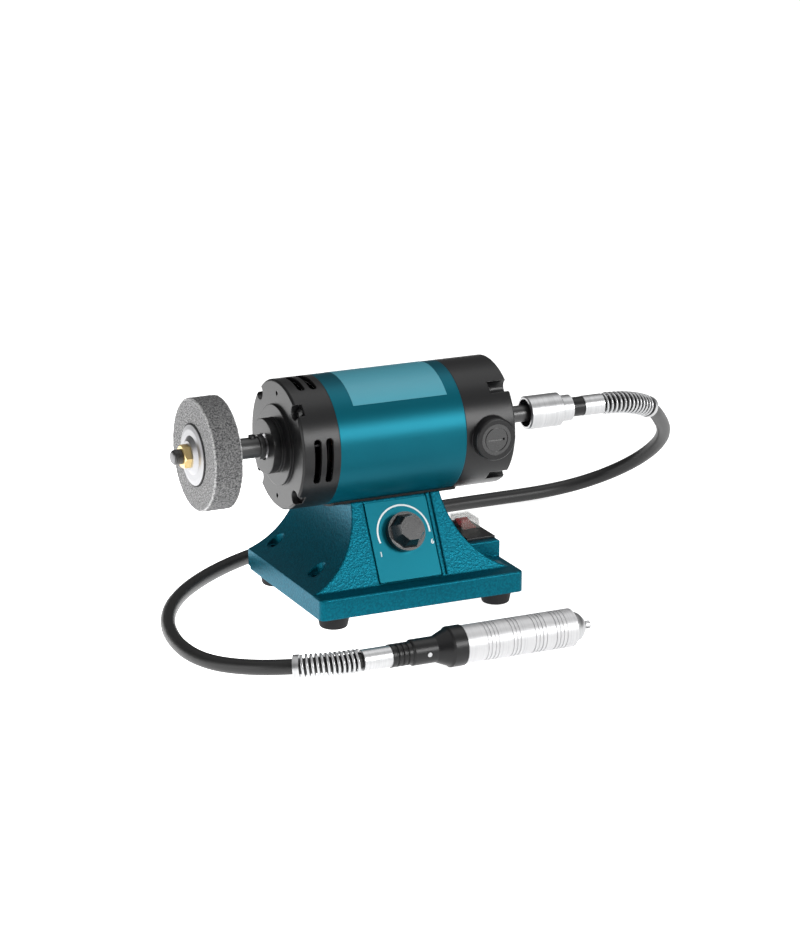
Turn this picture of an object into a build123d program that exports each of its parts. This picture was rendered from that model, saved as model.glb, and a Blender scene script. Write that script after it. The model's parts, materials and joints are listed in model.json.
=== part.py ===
from build123d import *
import math
import os

os.makedirs("parts", exist_ok=True)

# Shared values
snug = 0.02          # fixed fits, per side
running = 0.06       # running fits, per side
free = 0.4           # moving faces that only pass each other
overrun = 2.0        # how far a cut runs past the face it opens

# Base plate and pedestal
plate_length = 148.6
plate_depth = 122.4
plate_thickness = 14.2
plate_corner = 4.0
plate_edge = 1.4
casting_wall = 5.0
pedestal_offset = -2.0
flank_sink = 3.2
saddle_rise = 9.3
neck_width = 64.8
front_ledge = 13.2
lean_share = 0.55    # depth gained per height on the leaning front
back_upright = 30.0
back_top_depth = 34.0
hole_inset = 14.6
hole_front_y = -21.0
hole_bore = 6.5
hole_recess = 11.6
hole_seat = 3.4
boss_radius = 9.5

# Feet and bottom cover
foot_inset = 13.2
foot_height = 9.0
foot_radius = 11.0
foot_tip_radius = 9.2
foot_edge = 1.6
foot_stem_radius = 7.0
foot_stem = 5.0
foot_bore = 8.0
cover_thickness = 1.5
cover_gap = 0.3
cover_screw_x = 34.0
cover_screw_inset = 3.2
cover_screw_radius = 1.5
cover_screw_length = 10.0
cover_screw_tip = 2.0
cover_head_radius = 3.2
cover_head = 1.8
cover_boss_radius = 4.0

# Front panel, knob and potentiometer
panel_width = 45.2
panel_offset = -3.0
panel_thickness = 1.6
panel_recess = 1.2
panel_groove = 0.6
panel_foot = 1.2
panel_margin = 6.94
panel_corner = 1.0
upright_share = 0.6    # how nearly an edge runs square to the panel
side_groove = 1.0
side_groove_gap = 3.2
knob_offset = -1.5
knob_drop = 23.0
knob_radius = 13.3
knob_skirt = 3.0
knob_waist_radius = 12.2
knob_top_radius = 8.8
knob_height = 15.0
knob_sides = 8
knob_edge = 0.8
knob_bore_depth = 11.0
pot_radius = 8.5
pot_depth = 9.0
pot_bush_radius = 3.6
pot_nut_width = 11.0
pot_nut_height = 2.2
pot_shaft_radius = 3.0
pot_hole_clearance = 0.2
board_length = 52.0
board_depth = 40.0
board_thickness = 1.6
board_y = 28.0
board_height = 34.0
board_post_radius = 3.0
board_part_height = 8.0
board_chip = 14.0

# Switch
switch_pad_y = 1.0
switch_pad_length = 52.0
switch_pad_width = 34.3
pad_rise = 11.3
pad_edge = 1.2
bezel_inset = 1.1
bezel_width = 21.2
bezel_length = 42.0
bezel_height = 2.0
bezel_room = 0.6
switch_inset = 9.8
switch_shift = 7.5
switch_width = 14.0
switch_length = 21.0
switch_depth = 17.0
rocker_width = 9.6
rocker_half = 7.0
rocker_rise = 4.2
rocker_valley = 3.2
rocker_keel = 5.2
rocker_tilt = 12.0
rocker_pin_radius = 1.2
rocker_pin = 1.6
blade_width = 5.0
blade_thickness = 0.8
blade_length = 4.5
hood_width = 15.0
hood_length = 19.0
hood_height = 7.0
hood_wall = 1.0
hood_edge = 1.2

# Cable bush
bush_x = 18.0
bush_radius = 6.0
bush_bore = 3.4
bush_rim = 3.0
bush_neck_radius = 4.6

# Motor
axis_height = 113.7
shell_radius = 43.4
shell_wall = 2.0
shell_left = -51.9
shell_right = 39.4
pad_thickness = 1.6
pad_gap = 0.2
saddle_pad_length = 90.0
pad_wrap = 39.6
cap_wall = 2.8
cap_end_wall = 3.2
cap_spigot = 3.0
cap_edge = 1.2
left_cap_length = 26.7
left_disc_radius = 27.0
left_disc = 2.0
left_boss_radius = 18.5
left_boss = 9.9
boss_lip = 1.5
boss_hole_radius = 9.0
boss_groove = 0.7
right_cap_length = 36.6
screw_inset = 4.6
screw_turn_share = 0.125    # of a full turn, where the first of four screws stands
screw_angle = 360 * screw_turn_share
notch_inset = 2.8
notch_radius = 5.0
left_notch = 5.6
right_notch = 14.5
post_radius = 7.4
post_floor = 4.0
screw_radius = 2.0
screw_head_radius = 3.1
screw_head = 2.6
screw_bite = 5.0
pinhole_radius = 1.5
pinhole_inset = 8.4
vent_width = 5.0
vent_length = 30.0
vent_first = 10.6
vent_pitch = 8.5
vent_drop = 2.2

# Motor screws
motor_screw_spread = 30.0
motor_screw_radius = 2.5
motor_screw_head_radius = 4.4
motor_screw_head = 3.0
roof_thickness = 5.7

# Stator and rotor
stack_left = -28.0
stack_length = 50.0
yoke_depth = 6.4
pole_neck_width = 20.0
pole_shoe = 4.3
pole_span = 44.0
air_gap = 0.7
stator_depth = 18.7
armature_slots = 12
slot_width_share = 0.26    # of the pitch of the slots
slot_depth_share = 0.412    # of the core's depth down to the shaft
coil_gap = 1.25
coil_height = 3.6
coil_overhang = 8.0
winding_inset = 3.5
winding_left = 11.0
winding_right = 12.0
winding_gap = 0.4
winding_edge = 3.0
shaft_radius = 5.0
shaft_out_left = 23.5
shoulder_gap = 0.6
journal_radius = 4.0
shaft_out_right = 23.0
commutator_gap = 1.4
commutator_length = 14.4
commutator_radius = 12.0
commutator_bars = 18
bar_gap = 0.7
bar_gap_depth = 1.2
riser = 2.4
riser_radius = 13.4
fan_gap = 2.1
fan_plate = 1.8
fan_radius = 31.5
fan_blade_length = 13.0
fan_blade = 1.5
fan_blades = 9
fan_hub_radius = 10.0

# Bearings: outer radius, bore radius, width
left_bearing_radius = 13.0
left_bearing_width = 8.0
right_bearing_radius = 11.0
right_bearing_width = 7.0
bearing_lip = 3.4
ring_share = 0.62    # where the two rings part, between bore and outside
ring_gap = 0.5

# Brushes
brush_inset = 6.4
brush_boss_radius = 14.5
brush_boss_out = 6.6
brush_tube_radius = 9.5
brush_tube_gap = 4.0
brush_seat_depth = 8.0
holder_radius = 6.5
holder_end_gap = 5.0
holder_out = 1.0
brush_width = 7.0
brush_height = 6.0
brush_length = 15.0
brush_gap = 0.3
brush_slide = 0.05
brush_cap_radius = 10.6
brush_cap_ring = 8.4
brush_cap_groove = 0.6
brush_cap_slot = 1.6
brush_cap_slot_length = 12.0
brush_cap_slot_depth = 1.4
brush_spring_radius = 2.2
brush_spring_wire = 0.8
brush_spring_turns = 6

# Left spindle and wheel
adapter_radius = 7.0
adapter_collar_radius = 8.2
adapter_collar = 3.6
adapter_gap = 0.9
adapter_wall = 3.0
stud_radius = 4.9
stud_out = 5.9
stud_edge = 0.8
grub_inset = 3.5
grub_radius = 2.5
grub_length = 3.4
wheel_radius = 37.5
wheel_width = 19.7
wheel_edge = 1.2
inner_flange_radius = 16.0
inner_flange = 3.0
paper_radius = 20.9
paper = 0.4
outer_flange_radius = 20.0
outer_flange = 1.2
outer_flange_dish = 0.6
outer_flange_rim = 3.0
outer_flange_hub = 2.3
outer_flange_hub_radius = 9.6
outer_flange_root_radius = 13.0
nut_width = 14.0
nut_height = 4.8
nut_chamfer = 1.0

# Right spindle and coupling
shank_radius = 5.75
shank_gap = 0.9
shank_inset = 3.0
core_radius = 2.5
drive_radius = 3.0
sleeve_radius = 11.5
sleeve_out = 29.0
sleeve_body = 25.6
sleeve_neck_radius = 9.0
sleeve_length = 34.0
sleeve_edge = 0.8
sleeve_bearing_radius = 9.5
sleeve_bearing_width = 6.0
sleeve_bearing_seat = 14.0
circlip = 1.0
circlip_width = 1.6
collar_radius = 6.7
collar_length = 10.0
collar_spigot = 5.0
collar_spigot_length = 6.4
collar_bore = 3.2

# Flexible shaft
hose_radius = 5.0
hose_bore = 3.4
hose_fit = 0.05
ferrule_radius = 7.0
ferrule_length = 15.0
hose_seat = 2.0
hose_lead = 10.0
hand_hose_seat = 13.0
hand_hose_lead = 12.0
end_ring_radius = 7.6
end_ring_length = 4.0
guard_wire = 1.5
guard_radius = 6.9
guard_gap = 0.5
motor_guard_turns = 13
motor_ring_at = 63.5
hand_guard_turns = 12
hand_guard_length = 41.0
bend_share = 0.45

# Handpiece
hand_y = -148.0
hand_z = 13.2
hand_ferrule_left = -86.0
hand_ferrule_length = 19.5
connector_length = 14.0
connector_radius = 7.5
connector_groove = 0.7
connector_groove_width = 1.4
connector_grooves = 3
tail_radius = 8.5
tail_neck = 17.0
bell_length = 9.9
band_length = 9.1
bell_radius = 13.2
tail_edge = 1.0
tail_spigot = 5.0
body_radius = 12.5
body_length = 79.6
body_nose_radius = 11.7
body_nose = 0.8
body_bore = 9.0
body_nose_bore = 6.5
body_nose_wall = 8.0
grip_depth = 0.35
grip_width = 0.8
grip_pitch = 2.6
grip_shares = (0.169598, 0.395729, 0.596734, 0.785176)   # where each group starts along the body
grip_counts = (4, 3, 4, 4)
detent_inset = 10.5
detent_radius = 1.6
detent_rise = 0.4
detent_seat = 2.6
hand_bearing_width = 6.0
front_bearing_inset = 17.5
spindle_radius = 3.5
spindle_bite = 2.0
chuck_gap = 0.5
chuck_flange_radius = 7.0
chuck_cone = 7.4
chuck_cone_radius = 4.0
chuck_tip = 6.5
chuck_tip_radius = 2.4
chuck_stub_radius = 5.9
collet_bore = 1.6
collet_depth = 12.0

motor_guard_normal = (0.0, 0.605, 0.796)   # square to the loop that the hose makes beside the motor


def block(x0, x1, y0, y1, z0, z1):
    centre = Pos((x0 + x1) / 2, (y0 + y1) / 2, (z0 + z1) / 2)
    return centre * Box(x1 - x0, y1 - y0, z1 - z0)


def rod_x(x0, x1, radius, y=0, z=axis_height):
    low = (Align.CENTER, Align.CENTER, Align.MIN)
    return Pos(x0, y, z) * Rot(0, 90, 0) * Cylinder(radius, x1 - x0, align=low)


def rod_y(y0, y1, radius, x, z):
    low = (Align.CENTER, Align.CENTER, Align.MIN)
    return Pos(x, y0, z) * Rot(-90, 0, 0) * Cylinder(radius, y1 - y0, align=low)


def rod_z(z0, z1, radius, x, y):
    low = (Align.CENTER, Align.CENTER, Align.MIN)
    return Pos(x, y, z0) * Cylinder(radius, z1 - z0, align=low)


def turned(outline, y=0, z=axis_height):
    """Solid of revolution about a line along X; the outline holds (x, radius) pairs."""
    plane = Plane(origin=(0, y, z), x_dir=(1, 0, 0), z_dir=(0, -1, 0))
    face = make_face((plane * Polyline(*outline, close=True)).edges())
    return revolve(face, Axis((0, y, z), (1, 0, 0)))


def tube_x(x0, x1, outer, inner, y=0, z=axis_height):
    return turned([(x0, inner), (x1, inner), (x1, outer), (x0, outer)], y, z)


def ring_of(shape, count, first=0):
    """Copies of a shape around the motor axis."""
    axis = Axis((0, 0, axis_height), (1, 0, 0))
    return [shape.rotate(axis, first + 360 * i / count) for i in range(count)]


def tapered(z0, z1, low_radius, high_radius, x, y):
    low = (Align.CENTER, Align.CENTER, Align.MIN)
    return Pos(x, y, z0) * Cone(low_radius, high_radius, z1 - z0, align=low)


def save(name, *shapes):
    whole = shapes[0] if len(shapes) == 1 else Compound(children=[s for shape in shapes for s in shape.solids()])
    export_step(whole, f"parts/{name}.step")


# Base casting
half_length = plate_length / 2
half_depth = plate_depth / 2
hole_offset = half_length - hole_inset
foot_offset_y = half_depth - foot_inset
cover_screw_y = half_depth - casting_wall - cover_screw_inset
plate_low = foot_height
plate_top = plate_low + plate_thickness
front_foot = -half_depth + front_ledge
lean = math.hypot(1, lean_share)
saddle_radius = shell_radius + pad_thickness
saddle_floor = axis_height - saddle_radius
flank_height = saddle_floor + saddle_rise
flank_radius = flank_height - plate_top + flank_sink
flank_x = neck_width / 2 + flank_radius
roof_height = saddle_floor - roof_thickness
panel_top = (flank_height - plate_top) * lean - panel_margin
knob_up = panel_top - knob_drop
hole_recess_floor = plate_top + hole_seat
pad_top = plate_top + pad_rise
switch_x = half_length - switch_inset
switch_y = switch_pad_y + switch_shift
bezel_right = half_length - bezel_inset


def front_y(z, inset=0):
    return front_foot + lean_share * (z - plate_top) + inset * lean


def pedestal(inset, low, high):
    """The flared column: an outline of its side view, hollowed by two round flanks."""
    back = half_depth - inset
    back_top = back_top_depth - inset
    knee = plate_top + back_upright
    outline = [(front_y(low, inset), low), (front_y(high, inset), high), (back_top, high), (back, knee), (back, low)]
    side = Plane(origin=(pedestal_offset - half_length, 0, 0), x_dir=(0, 1, 0), z_dir=(1, 0, 0))
    column = extrude(make_face((side * Polyline(*outline, close=True)).edges()), plate_length, dir=(1, 0, 0))
    for sign in (-1, 1):
        column -= rod_y(-half_depth - overrun, half_depth + overrun, flank_radius + inset,
                        pedestal_offset + sign * flank_x, flank_height)
    edge = half_length - inset
    return column & block(-edge, edge, -half_depth, half_depth, low, high)


plate = block(-half_length, half_length, -half_depth, half_depth, plate_low, plate_top)
plate = fillet(plate.edges().filter_by(Axis.Z), plate_corner)
plate = fillet(plate.edges().group_by(Axis.Z)[-1], plate_edge)
switch_pad = block(half_length - switch_pad_width, half_length, switch_pad_y - switch_pad_length / 2,
                   switch_pad_y + switch_pad_length / 2, plate_top - plate_edge, pad_top)
switch_pad = fillet(switch_pad.edges().group_by(Axis.Z)[-1], pad_edge)
column = pedestal(0, plate_low + overrun, flank_height)
outer = plate + switch_pad + column
outer -= rod_x(-half_length, half_length, saddle_radius)
plate_cavity = block(-half_length + casting_wall, half_length - casting_wall, -half_depth + casting_wall,
                     half_depth - casting_wall, plate_low - overrun, plate_top - casting_wall)
column_cavity = pedestal(casting_wall, plate_low, roof_height)
switch_cavity = block(switch_x - switch_width / 2 - snug, switch_x + switch_width / 2 + snug,
                      switch_y - switch_length / 2 - snug, switch_y + switch_length / 2 + snug,
                      plate_low, pad_top + overrun)
foot_places = [(sx * hole_offset, sy * foot_offset_y) for sx in (-1, 1) for sy in (-1, 1)]
cover_top = foot_height + cover_thickness
screw_places = [(sx * cover_screw_x, sy * cover_screw_y) for sx in (-1, 1) for sy in (-1, 1)]
board_top = board_height + board_thickness
post_x = board_length / 2 - board_post_radius
post_y = board_depth / 2 - board_post_radius
post_places = [(pedestal_offset + sx * post_x, board_y + sy * post_y) for sx in (-1, 1) for sy in (-1, 1)]
hollow = plate_cavity + column_cavity
for x, y in foot_places + [(-hole_offset, hole_front_y)]:
    hollow -= rod_z(cover_top, pad_top, boss_radius, x, y)
for x, y in screw_places:
    hollow -= rod_z(cover_top, pad_top, cover_boss_radius, x, y)
for x, y in post_places:
    hollow -= rod_z(board_top, roof_height + overrun, board_post_radius, x, y)
casting = outer - hollow - switch_cavity
for x, y in foot_places:
    casting -= rod_z(cover_top - overrun, cover_top + foot_stem, foot_stem_radius + snug, x, y)
bench_holes = [(-hole_offset, hole_front_y), (-hole_offset, foot_offset_y), (hole_offset, foot_offset_y)]
for x, y in bench_holes:
    casting -= rod_z(plate_low, pad_top, hole_bore / 2, x, y)
    casting -= rod_z(hole_recess_floor, pad_top + overrun, hole_recess / 2, x, y)
for x, y in screw_places:
    casting -= rod_z(plate_low, cover_top + cover_screw_length, cover_screw_radius + snug, x, y)
casting -= block(bezel_right - bezel_width - bezel_room, half_length + overrun,
                 switch_pad_y - bezel_length / 2 - bezel_room, switch_pad_y + bezel_length / 2 + bezel_room,
                 pad_top, pad_top + bezel_height + hood_height + bezel_room)

# Front face frame: u along X, v up the leaning front, w out of it
front = Plane(origin=(0, front_foot, plate_top), x_dir=(1, 0, 0), z_dir=(0, -1 / lean, lean_share / lean))


def on_front(u0, u1, v0, v1, w0, w1):
    return front * Pos((u0 + u1) / 2, (v0 + v1) / 2, (w0 + w1) / 2) * Box(u1 - u0, v1 - v0, w1 - w0)


def on_knob(radius, w0, w1):
    low = (Align.CENTER, Align.CENTER, Align.MIN)
    return front * Pos(knob_offset, knob_up, w0) * Cylinder(radius, w1 - w0, align=low)


panel_left = panel_offset - panel_width / 2
panel_right = panel_offset + panel_width / 2
casting -= on_front(panel_left - panel_groove, panel_right + panel_groove, panel_foot - panel_groove,
                    panel_top + casting_wall, -panel_recess, overrun)
casting -= on_front(panel_right + side_groove_gap, panel_right + side_groove_gap + side_groove, panel_foot,
                    panel_top + casting_wall, -side_groove, overrun)
casting -= on_knob(pot_bush_radius + pot_hole_clearance, -casting_wall - overrun, overrun)
for sign in (-1, 1):
    casting -= rod_z(roof_height - overrun, axis_height, motor_screw_radius + snug,
                     pedestal_offset + sign * motor_screw_spread / 2, 0)
bush_z = plate_low + plate_thickness / 2
casting -= rod_y(half_depth - casting_wall - overrun, half_depth + overrun, bush_neck_radius + snug, bush_x, bush_z)
save("base_casting", casting)

# Bottom cover, its screws and the feet
cover_x = half_length - casting_wall - cover_gap
cover_y = half_depth - casting_wall - cover_gap
cover = block(-cover_x, cover_x, -cover_y, cover_y, foot_height, cover_top)
for x, y in foot_places:
    cover -= rod_z(plate_low, cover_top + overrun, foot_stem_radius + cover_gap, x, y)
cover -= rod_z(plate_low, cover_top + overrun, hole_bore / 2 + cover_gap, -hole_offset, hole_front_y)
for x, y in screw_places:
    cover -= rod_z(plate_low, cover_top + overrun, cover_screw_radius + cover_gap, x, y)
save("bottom_cover", cover)

cover_screws = []
for x, y in screw_places:
    head = rod_z(foot_height - cover_head, foot_height, cover_head_radius, x, y)
    cover_screws.append(head + rod_z(foot_height - cover_head / 2, cover_top + cover_screw_length - cover_screw_tip,
                                     cover_screw_radius, x, y))
save("cover_screws", *cover_screws)

feet = []
for x, y in foot_places:
    foot = tapered(0, foot_height, foot_tip_radius, foot_radius, x, y)
    foot = fillet(foot.edges().group_by(Axis.Z)[0], foot_edge)
    foot += rod_z(foot_height - overrun, cover_top + foot_stem - snug, foot_stem_radius, x, y)
    feet.append(foot - rod_z(-overrun, cover_top + foot_stem + overrun, foot_bore / 2, x, y))
save("rubber_feet", *feet)

# Front panel
panel = on_front(panel_left, panel_right, panel_foot, panel_top, -panel_recess, panel_thickness - panel_recess)
panel = fillet(panel.edges().filter_by(lambda e: abs(e.tangent_at(0).dot(front.z_dir)) > upright_share), panel_corner)
panel -= on_knob(pot_bush_radius + pot_hole_clearance, -casting_wall, overrun)
save("front_panel", panel)

# Potentiometer and knob
panel_face = panel_thickness - panel_recess
pot_front = -casting_wall
bush_out = panel_face + pot_nut_height
pot = on_knob(pot_radius, pot_front - pot_depth, pot_front) + on_knob(pot_bush_radius, pot_front - overrun, bush_out)
pot -= on_knob(pot_shaft_radius + running, pot_front - pot_depth / 2, bush_out + overrun)
save("potentiometer", pot)

at_knob = front * Pos(knob_offset, knob_up, 0)
nut_blank = extrude(RegularPolygon(pot_nut_width / 2, 6, major_radius=False), pot_nut_height)
pot_nut = at_knob * Pos(0, 0, panel_face) * nut_blank - on_knob(pot_bush_radius + snug, -overrun, bush_out + overrun)
save("pot_nut", pot_nut)

knob_low = bush_out + free
knob_top = panel_face + knob_height
knob_rise = knob_top - knob_low - knob_skirt
knob_taper = math.degrees(math.atan2(knob_waist_radius - knob_top_radius, knob_rise))
grip = extrude(RegularPolygon(knob_waist_radius, knob_sides), knob_rise, taper=knob_taper)
grip = at_knob * Pos(0, 0, knob_low + knob_skirt) * Rot(0, 0, 180 / knob_sides) * grip
knob = on_knob(knob_radius, knob_low, knob_low + knob_skirt) + grip
rim_low = panel_face + free
skirt_bore = pot_nut_width / math.sqrt(3) + free
knob += on_knob(knob_radius, rim_low, knob_low + knob_edge) - on_knob(skirt_bore, rim_low - overrun, knob_low)
shaft_top = knob_low + knob_bore_depth
knob -= on_knob(pot_shaft_radius + snug, -overrun, shaft_top)
save("speed_knob", knob)
save("pot_shaft", on_knob(pot_shaft_radius, pot_front - pot_depth / 2 + free, shaft_top - snug))

# Speed board, hung on the casting's posts
bx = board_length / 2
by = board_depth / 2
board = block(pedestal_offset - bx, pedestal_offset + bx, board_y - by, board_y + by, board_height, board_top - snug)
for x, y in [(-bx / 2, -by / 2), (0, by / 2), (bx / 2, 0)]:
    half = board_chip / 2
    cx = pedestal_offset + x
    cy = board_y + y
    board += block(cx - half, cx + half, cy - half / 2, cy + half / 2, board_height - board_part_height,
                   board_height + board_thickness / 2)
save("speed_board", board)

# Switch: housing with bezel, rocker, blades and clear cover
pivot_z = pad_top
housing = block(switch_x - switch_width / 2, switch_x + switch_width / 2, switch_y - switch_length / 2,
                switch_y + switch_length / 2, pad_top - switch_depth, pad_top)
bezel = block(bezel_right - bezel_width, bezel_right, switch_pad_y - bezel_length / 2,
              switch_pad_y + bezel_length / 2, pad_top, pad_top + bezel_height)
housing += fillet(bezel.edges().group_by(Axis.Z)[-1], bezel_height / 4)
sweep_radius = math.hypot(rocker_half, rocker_rise) + free
pocket_x = rocker_width / 2 + free
housing -= block(switch_x - pocket_x, switch_x + pocket_x, switch_y - sweep_radius, switch_y + sweep_radius,
                 pivot_z - rocker_keel - bezel_height, pad_top + bezel_height + overrun)
housing -= rod_x(switch_x - pocket_x - rocker_pin, switch_x + pocket_x + rocker_pin, rocker_pin_radius + running,
                 switch_y, pivot_z)
save("switch_housing", housing)

outline = [(-rocker_half, rocker_rise), (0, rocker_valley), (rocker_half, rocker_rise),
           (rocker_half - free, -rocker_keel / 2), (0, -rocker_keel), (free - rocker_half, -rocker_keel / 2)]
side = Plane(origin=(switch_x - rocker_width / 2, switch_y, pivot_z), x_dir=(0, 1, 0), z_dir=(1, 0, 0))
rocker = extrude(make_face((side * Polyline(*outline, close=True)).edges()), rocker_width, dir=(1, 0, 0))
rocker += rod_x(switch_x - pocket_x - rocker_pin + free, switch_x + pocket_x + rocker_pin - free, rocker_pin_radius,
                switch_y, pivot_z)
rocker = rocker.rotate(Axis((switch_x, switch_y, pivot_z), (1, 0, 0)), rocker_tilt)
save("switch_rocker", rocker)

blades = []
for share in (-1, 0, 1):
    y = switch_y + share * switch_length / 3
    blades.append(block(switch_x - blade_width / 2, switch_x + blade_width / 2, y - blade_thickness / 2,
                        y + blade_thickness / 2, pad_top - switch_depth - blade_length, pad_top - switch_depth))
save("switch_blades", *blades)

hood_low = pad_top + bezel_height
hood = block(switch_x - hood_width / 2, switch_x + hood_width / 2, switch_y - hood_length / 2,
             switch_y + hood_length / 2, hood_low, hood_low + hood_height)
hood = fillet(hood.edges().filter_by(Axis.Z) + hood.edges().group_by(Axis.Z)[-1], hood_edge)
hood -= block(switch_x - hood_width / 2 + hood_wall, switch_x + hood_width / 2 - hood_wall,
              switch_y - hood_length / 2 + hood_wall, switch_y + hood_length / 2 - hood_wall, hood_low - overrun,
              hood_low + hood_height - hood_wall)
save("switch_cover", hood)

# Cable bush in the back of the base
bush = rod_y(half_depth, half_depth + bush_rim, bush_radius, bush_x, bush_z)
bush += rod_y(half_depth - casting_wall, half_depth + overrun, bush_neck_radius, bush_x, bush_z)
bush -= rod_y(half_depth - casting_wall - overrun, half_depth + bush_rim + overrun, bush_bore, bush_x, bush_z)
save("cable_bush", bush)

# Saddle pad and motor screws
pad = tube_x(pedestal_offset - saddle_pad_length / 2, pedestal_offset + saddle_pad_length / 2,
             saddle_radius - snug, shell_radius + pad_gap)
pad &= block(-half_length, half_length, -pad_wrap / 2, pad_wrap / 2, roof_height, axis_height)
motor_screws = []
for sign in (-1, 1):
    x = pedestal_offset + sign * motor_screw_spread / 2
    pad -= rod_z(roof_height, axis_height, motor_screw_radius + snug, x, 0)
    screw = rod_z(roof_height - motor_screw_head, roof_height - snug, motor_screw_head_radius, x, 0)
    motor_screws.append(screw + rod_z(roof_height - motor_screw_head, axis_height - shell_radius + shell_wall - free,
                                      motor_screw_radius, x, 0))
save("saddle_pad", pad)
save("motor_screws", *motor_screws)

# Motor shell
shell_bore = shell_radius - shell_wall
screw_circle = shell_radius - screw_inset
notch_circle = shell_radius - notch_inset
pinhole_circle = shell_radius - pinhole_inset
shell = tube_x(shell_left, shell_right, shell_radius, shell_bore)
for sign in (-1, 1):
    shell -= rod_z(roof_height, axis_height, motor_screw_radius + snug,
                   pedestal_offset + sign * motor_screw_spread / 2, 0)
save("motor_shell", shell)

# Left end cap: cup, raised disc, bearing boss, screw posts and vents
cap_bore = shell_bore - snug - cap_wall / 2
spigot_radius = shell_bore - snug
left_face = shell_left - left_cap_length
left_boss_face = left_face - left_boss
left_seat_left = left_boss_face + boss_lip
left_cup_floor = left_face + cap_end_wall
left_cap = turned([
    (left_boss_face, 0), (left_boss_face, left_boss_radius), (left_face - left_disc, left_boss_radius),
    (left_face - left_disc, left_disc_radius), (left_face, left_disc_radius), (left_face, shell_radius - cap_edge),
    (left_face + cap_edge, shell_radius), (shell_left, shell_radius), (shell_left, spigot_radius),
    (shell_left + cap_spigot, spigot_radius), (shell_left + cap_spigot, 0)])
left_room = rod_x(left_cup_floor, shell_left + cap_spigot + overrun, cap_bore)
left_post = rod_x(left_cup_floor - overrun, left_face + left_notch + post_floor, post_radius, 0,
                  axis_height + notch_circle)
for post in ring_of(left_post, 4, screw_angle):
    left_room -= post
left_cap -= left_room
left_cap -= rod_x(left_seat_left, left_cup_floor + overrun, left_bearing_radius + snug)
left_cap -= rod_x(left_boss_face - overrun, left_seat_left + overrun, boss_hole_radius)
left_notch_cut = rod_x(left_boss_face, left_face + left_notch, notch_radius, 0, axis_height + notch_circle)
left_screw_cut = rod_x(left_boss_face, shell_right, screw_radius + snug, 0, axis_height + screw_circle)
for cut in ring_of(left_notch_cut, 4, screw_angle) + ring_of(left_screw_cut, 4, screw_angle):
    left_cap -= cut
left_pinhole = rod_x(left_boss_face, left_cup_floor + overrun, pinhole_radius, 0, axis_height + pinhole_circle)
for hole in ring_of(left_pinhole, 2):
    left_cap -= hole
vent_high = SlotOverall(vent_length, vent_width, rotation=90)
for i in range(2):
    x = left_face + vent_first + i * vent_pitch
    vent_plane = Plane(origin=(x, 0, axis_height - vent_drop), x_dir=(1, 0, 0), z_dir=(0, -1, 0))
    vent = extrude(vent_plane * vent_high, shell_radius + overrun)
    for turn in range(4):
        left_cap -= vent.rotate(Axis((0, 0, axis_height), (1, 0, 0)), 90 * turn)
groove_x = left_boss_face + left_boss / 2
left_cap -= tube_x(groove_x, groove_x + boss_groove, left_boss_radius + overrun, left_boss_radius - boss_groove)
save("left_end_cap", left_cap)

# Right end cap: cup, bearing seat, screw notches and two brush bosses
right_face = shell_right + right_cap_length
right_cup_floor = right_face - cap_end_wall
right_seat_right = right_cup_floor
right_seat_left = right_seat_right - right_bearing_width
commutator_right = right_seat_left - commutator_gap
commutator_left = commutator_right - commutator_length
brush_x = commutator_right - brush_inset
brush_boss_face = shell_radius + brush_boss_out
brush_tube_inner = commutator_radius + brush_tube_gap
seat_boss_radius = right_bearing_radius + bearing_lip
right_hole_radius = shank_radius + free
right_cap = turned([
    (shell_right - cap_spigot, 0), (shell_right - cap_spigot, spigot_radius), (shell_right, spigot_radius),
    (shell_right, shell_radius), (right_face - cap_edge, shell_radius), (right_face, shell_radius - cap_edge),
    (right_face, 0)])
right_room = rod_x(shell_right - cap_spigot - overrun, right_cup_floor, cap_bore)
right_room -= rod_x(right_seat_left, right_face, seat_boss_radius)
right_floor = right_face - right_notch
right_post = rod_x(right_floor - post_floor, right_face, post_radius, 0, axis_height + notch_circle)
right_notch_cut = rod_x(right_floor, right_face + overrun, notch_radius, 0, axis_height + notch_circle)
right_screw_cut = rod_x(shell_left, right_face, screw_radius + snug, 0, axis_height + screw_circle)
for post in ring_of(right_post, 4, screw_angle):
    right_room -= post
brush_seat = brush_boss_face - brush_seat_depth
brush_tools = []
for sign in (-1, 1):
    turn = 0 if sign < 0 else 180
    spin = Axis((brush_x, 0, axis_height), (0, 0, 1))
    boss = rod_y(-brush_boss_face, -brush_tube_inner, brush_boss_radius, brush_x, axis_height)
    boss = fillet(boss.edges().group_by(Axis.Y)[0], cap_edge)
    right_cap += boss.rotate(spin, turn)
    inner = rod_y(-shell_radius, -brush_tube_inner, brush_tube_radius, brush_x, axis_height)
    right_room -= inner.rotate(spin, turn)
    seat = rod_y(-brush_boss_face - overrun, -brush_seat, brush_cap_radius + snug, brush_x, axis_height)
    seat += rod_y(-brush_seat - overrun, -brush_tube_inner + overrun, holder_radius + snug, brush_x, axis_height)
    brush_tools.append(seat.rotate(spin, turn))
right_cap -= right_room
right_cap -= rod_x(right_seat_left - overrun, right_seat_right, right_bearing_radius + snug)
right_cap -= rod_x(right_seat_right - overrun, right_face + overrun, right_hole_radius)
for cut in brush_tools + ring_of(right_notch_cut, 4, screw_angle) + ring_of(right_screw_cut, 4, screw_angle):
    right_cap -= cut
save("right_end_cap", right_cap)

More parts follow.
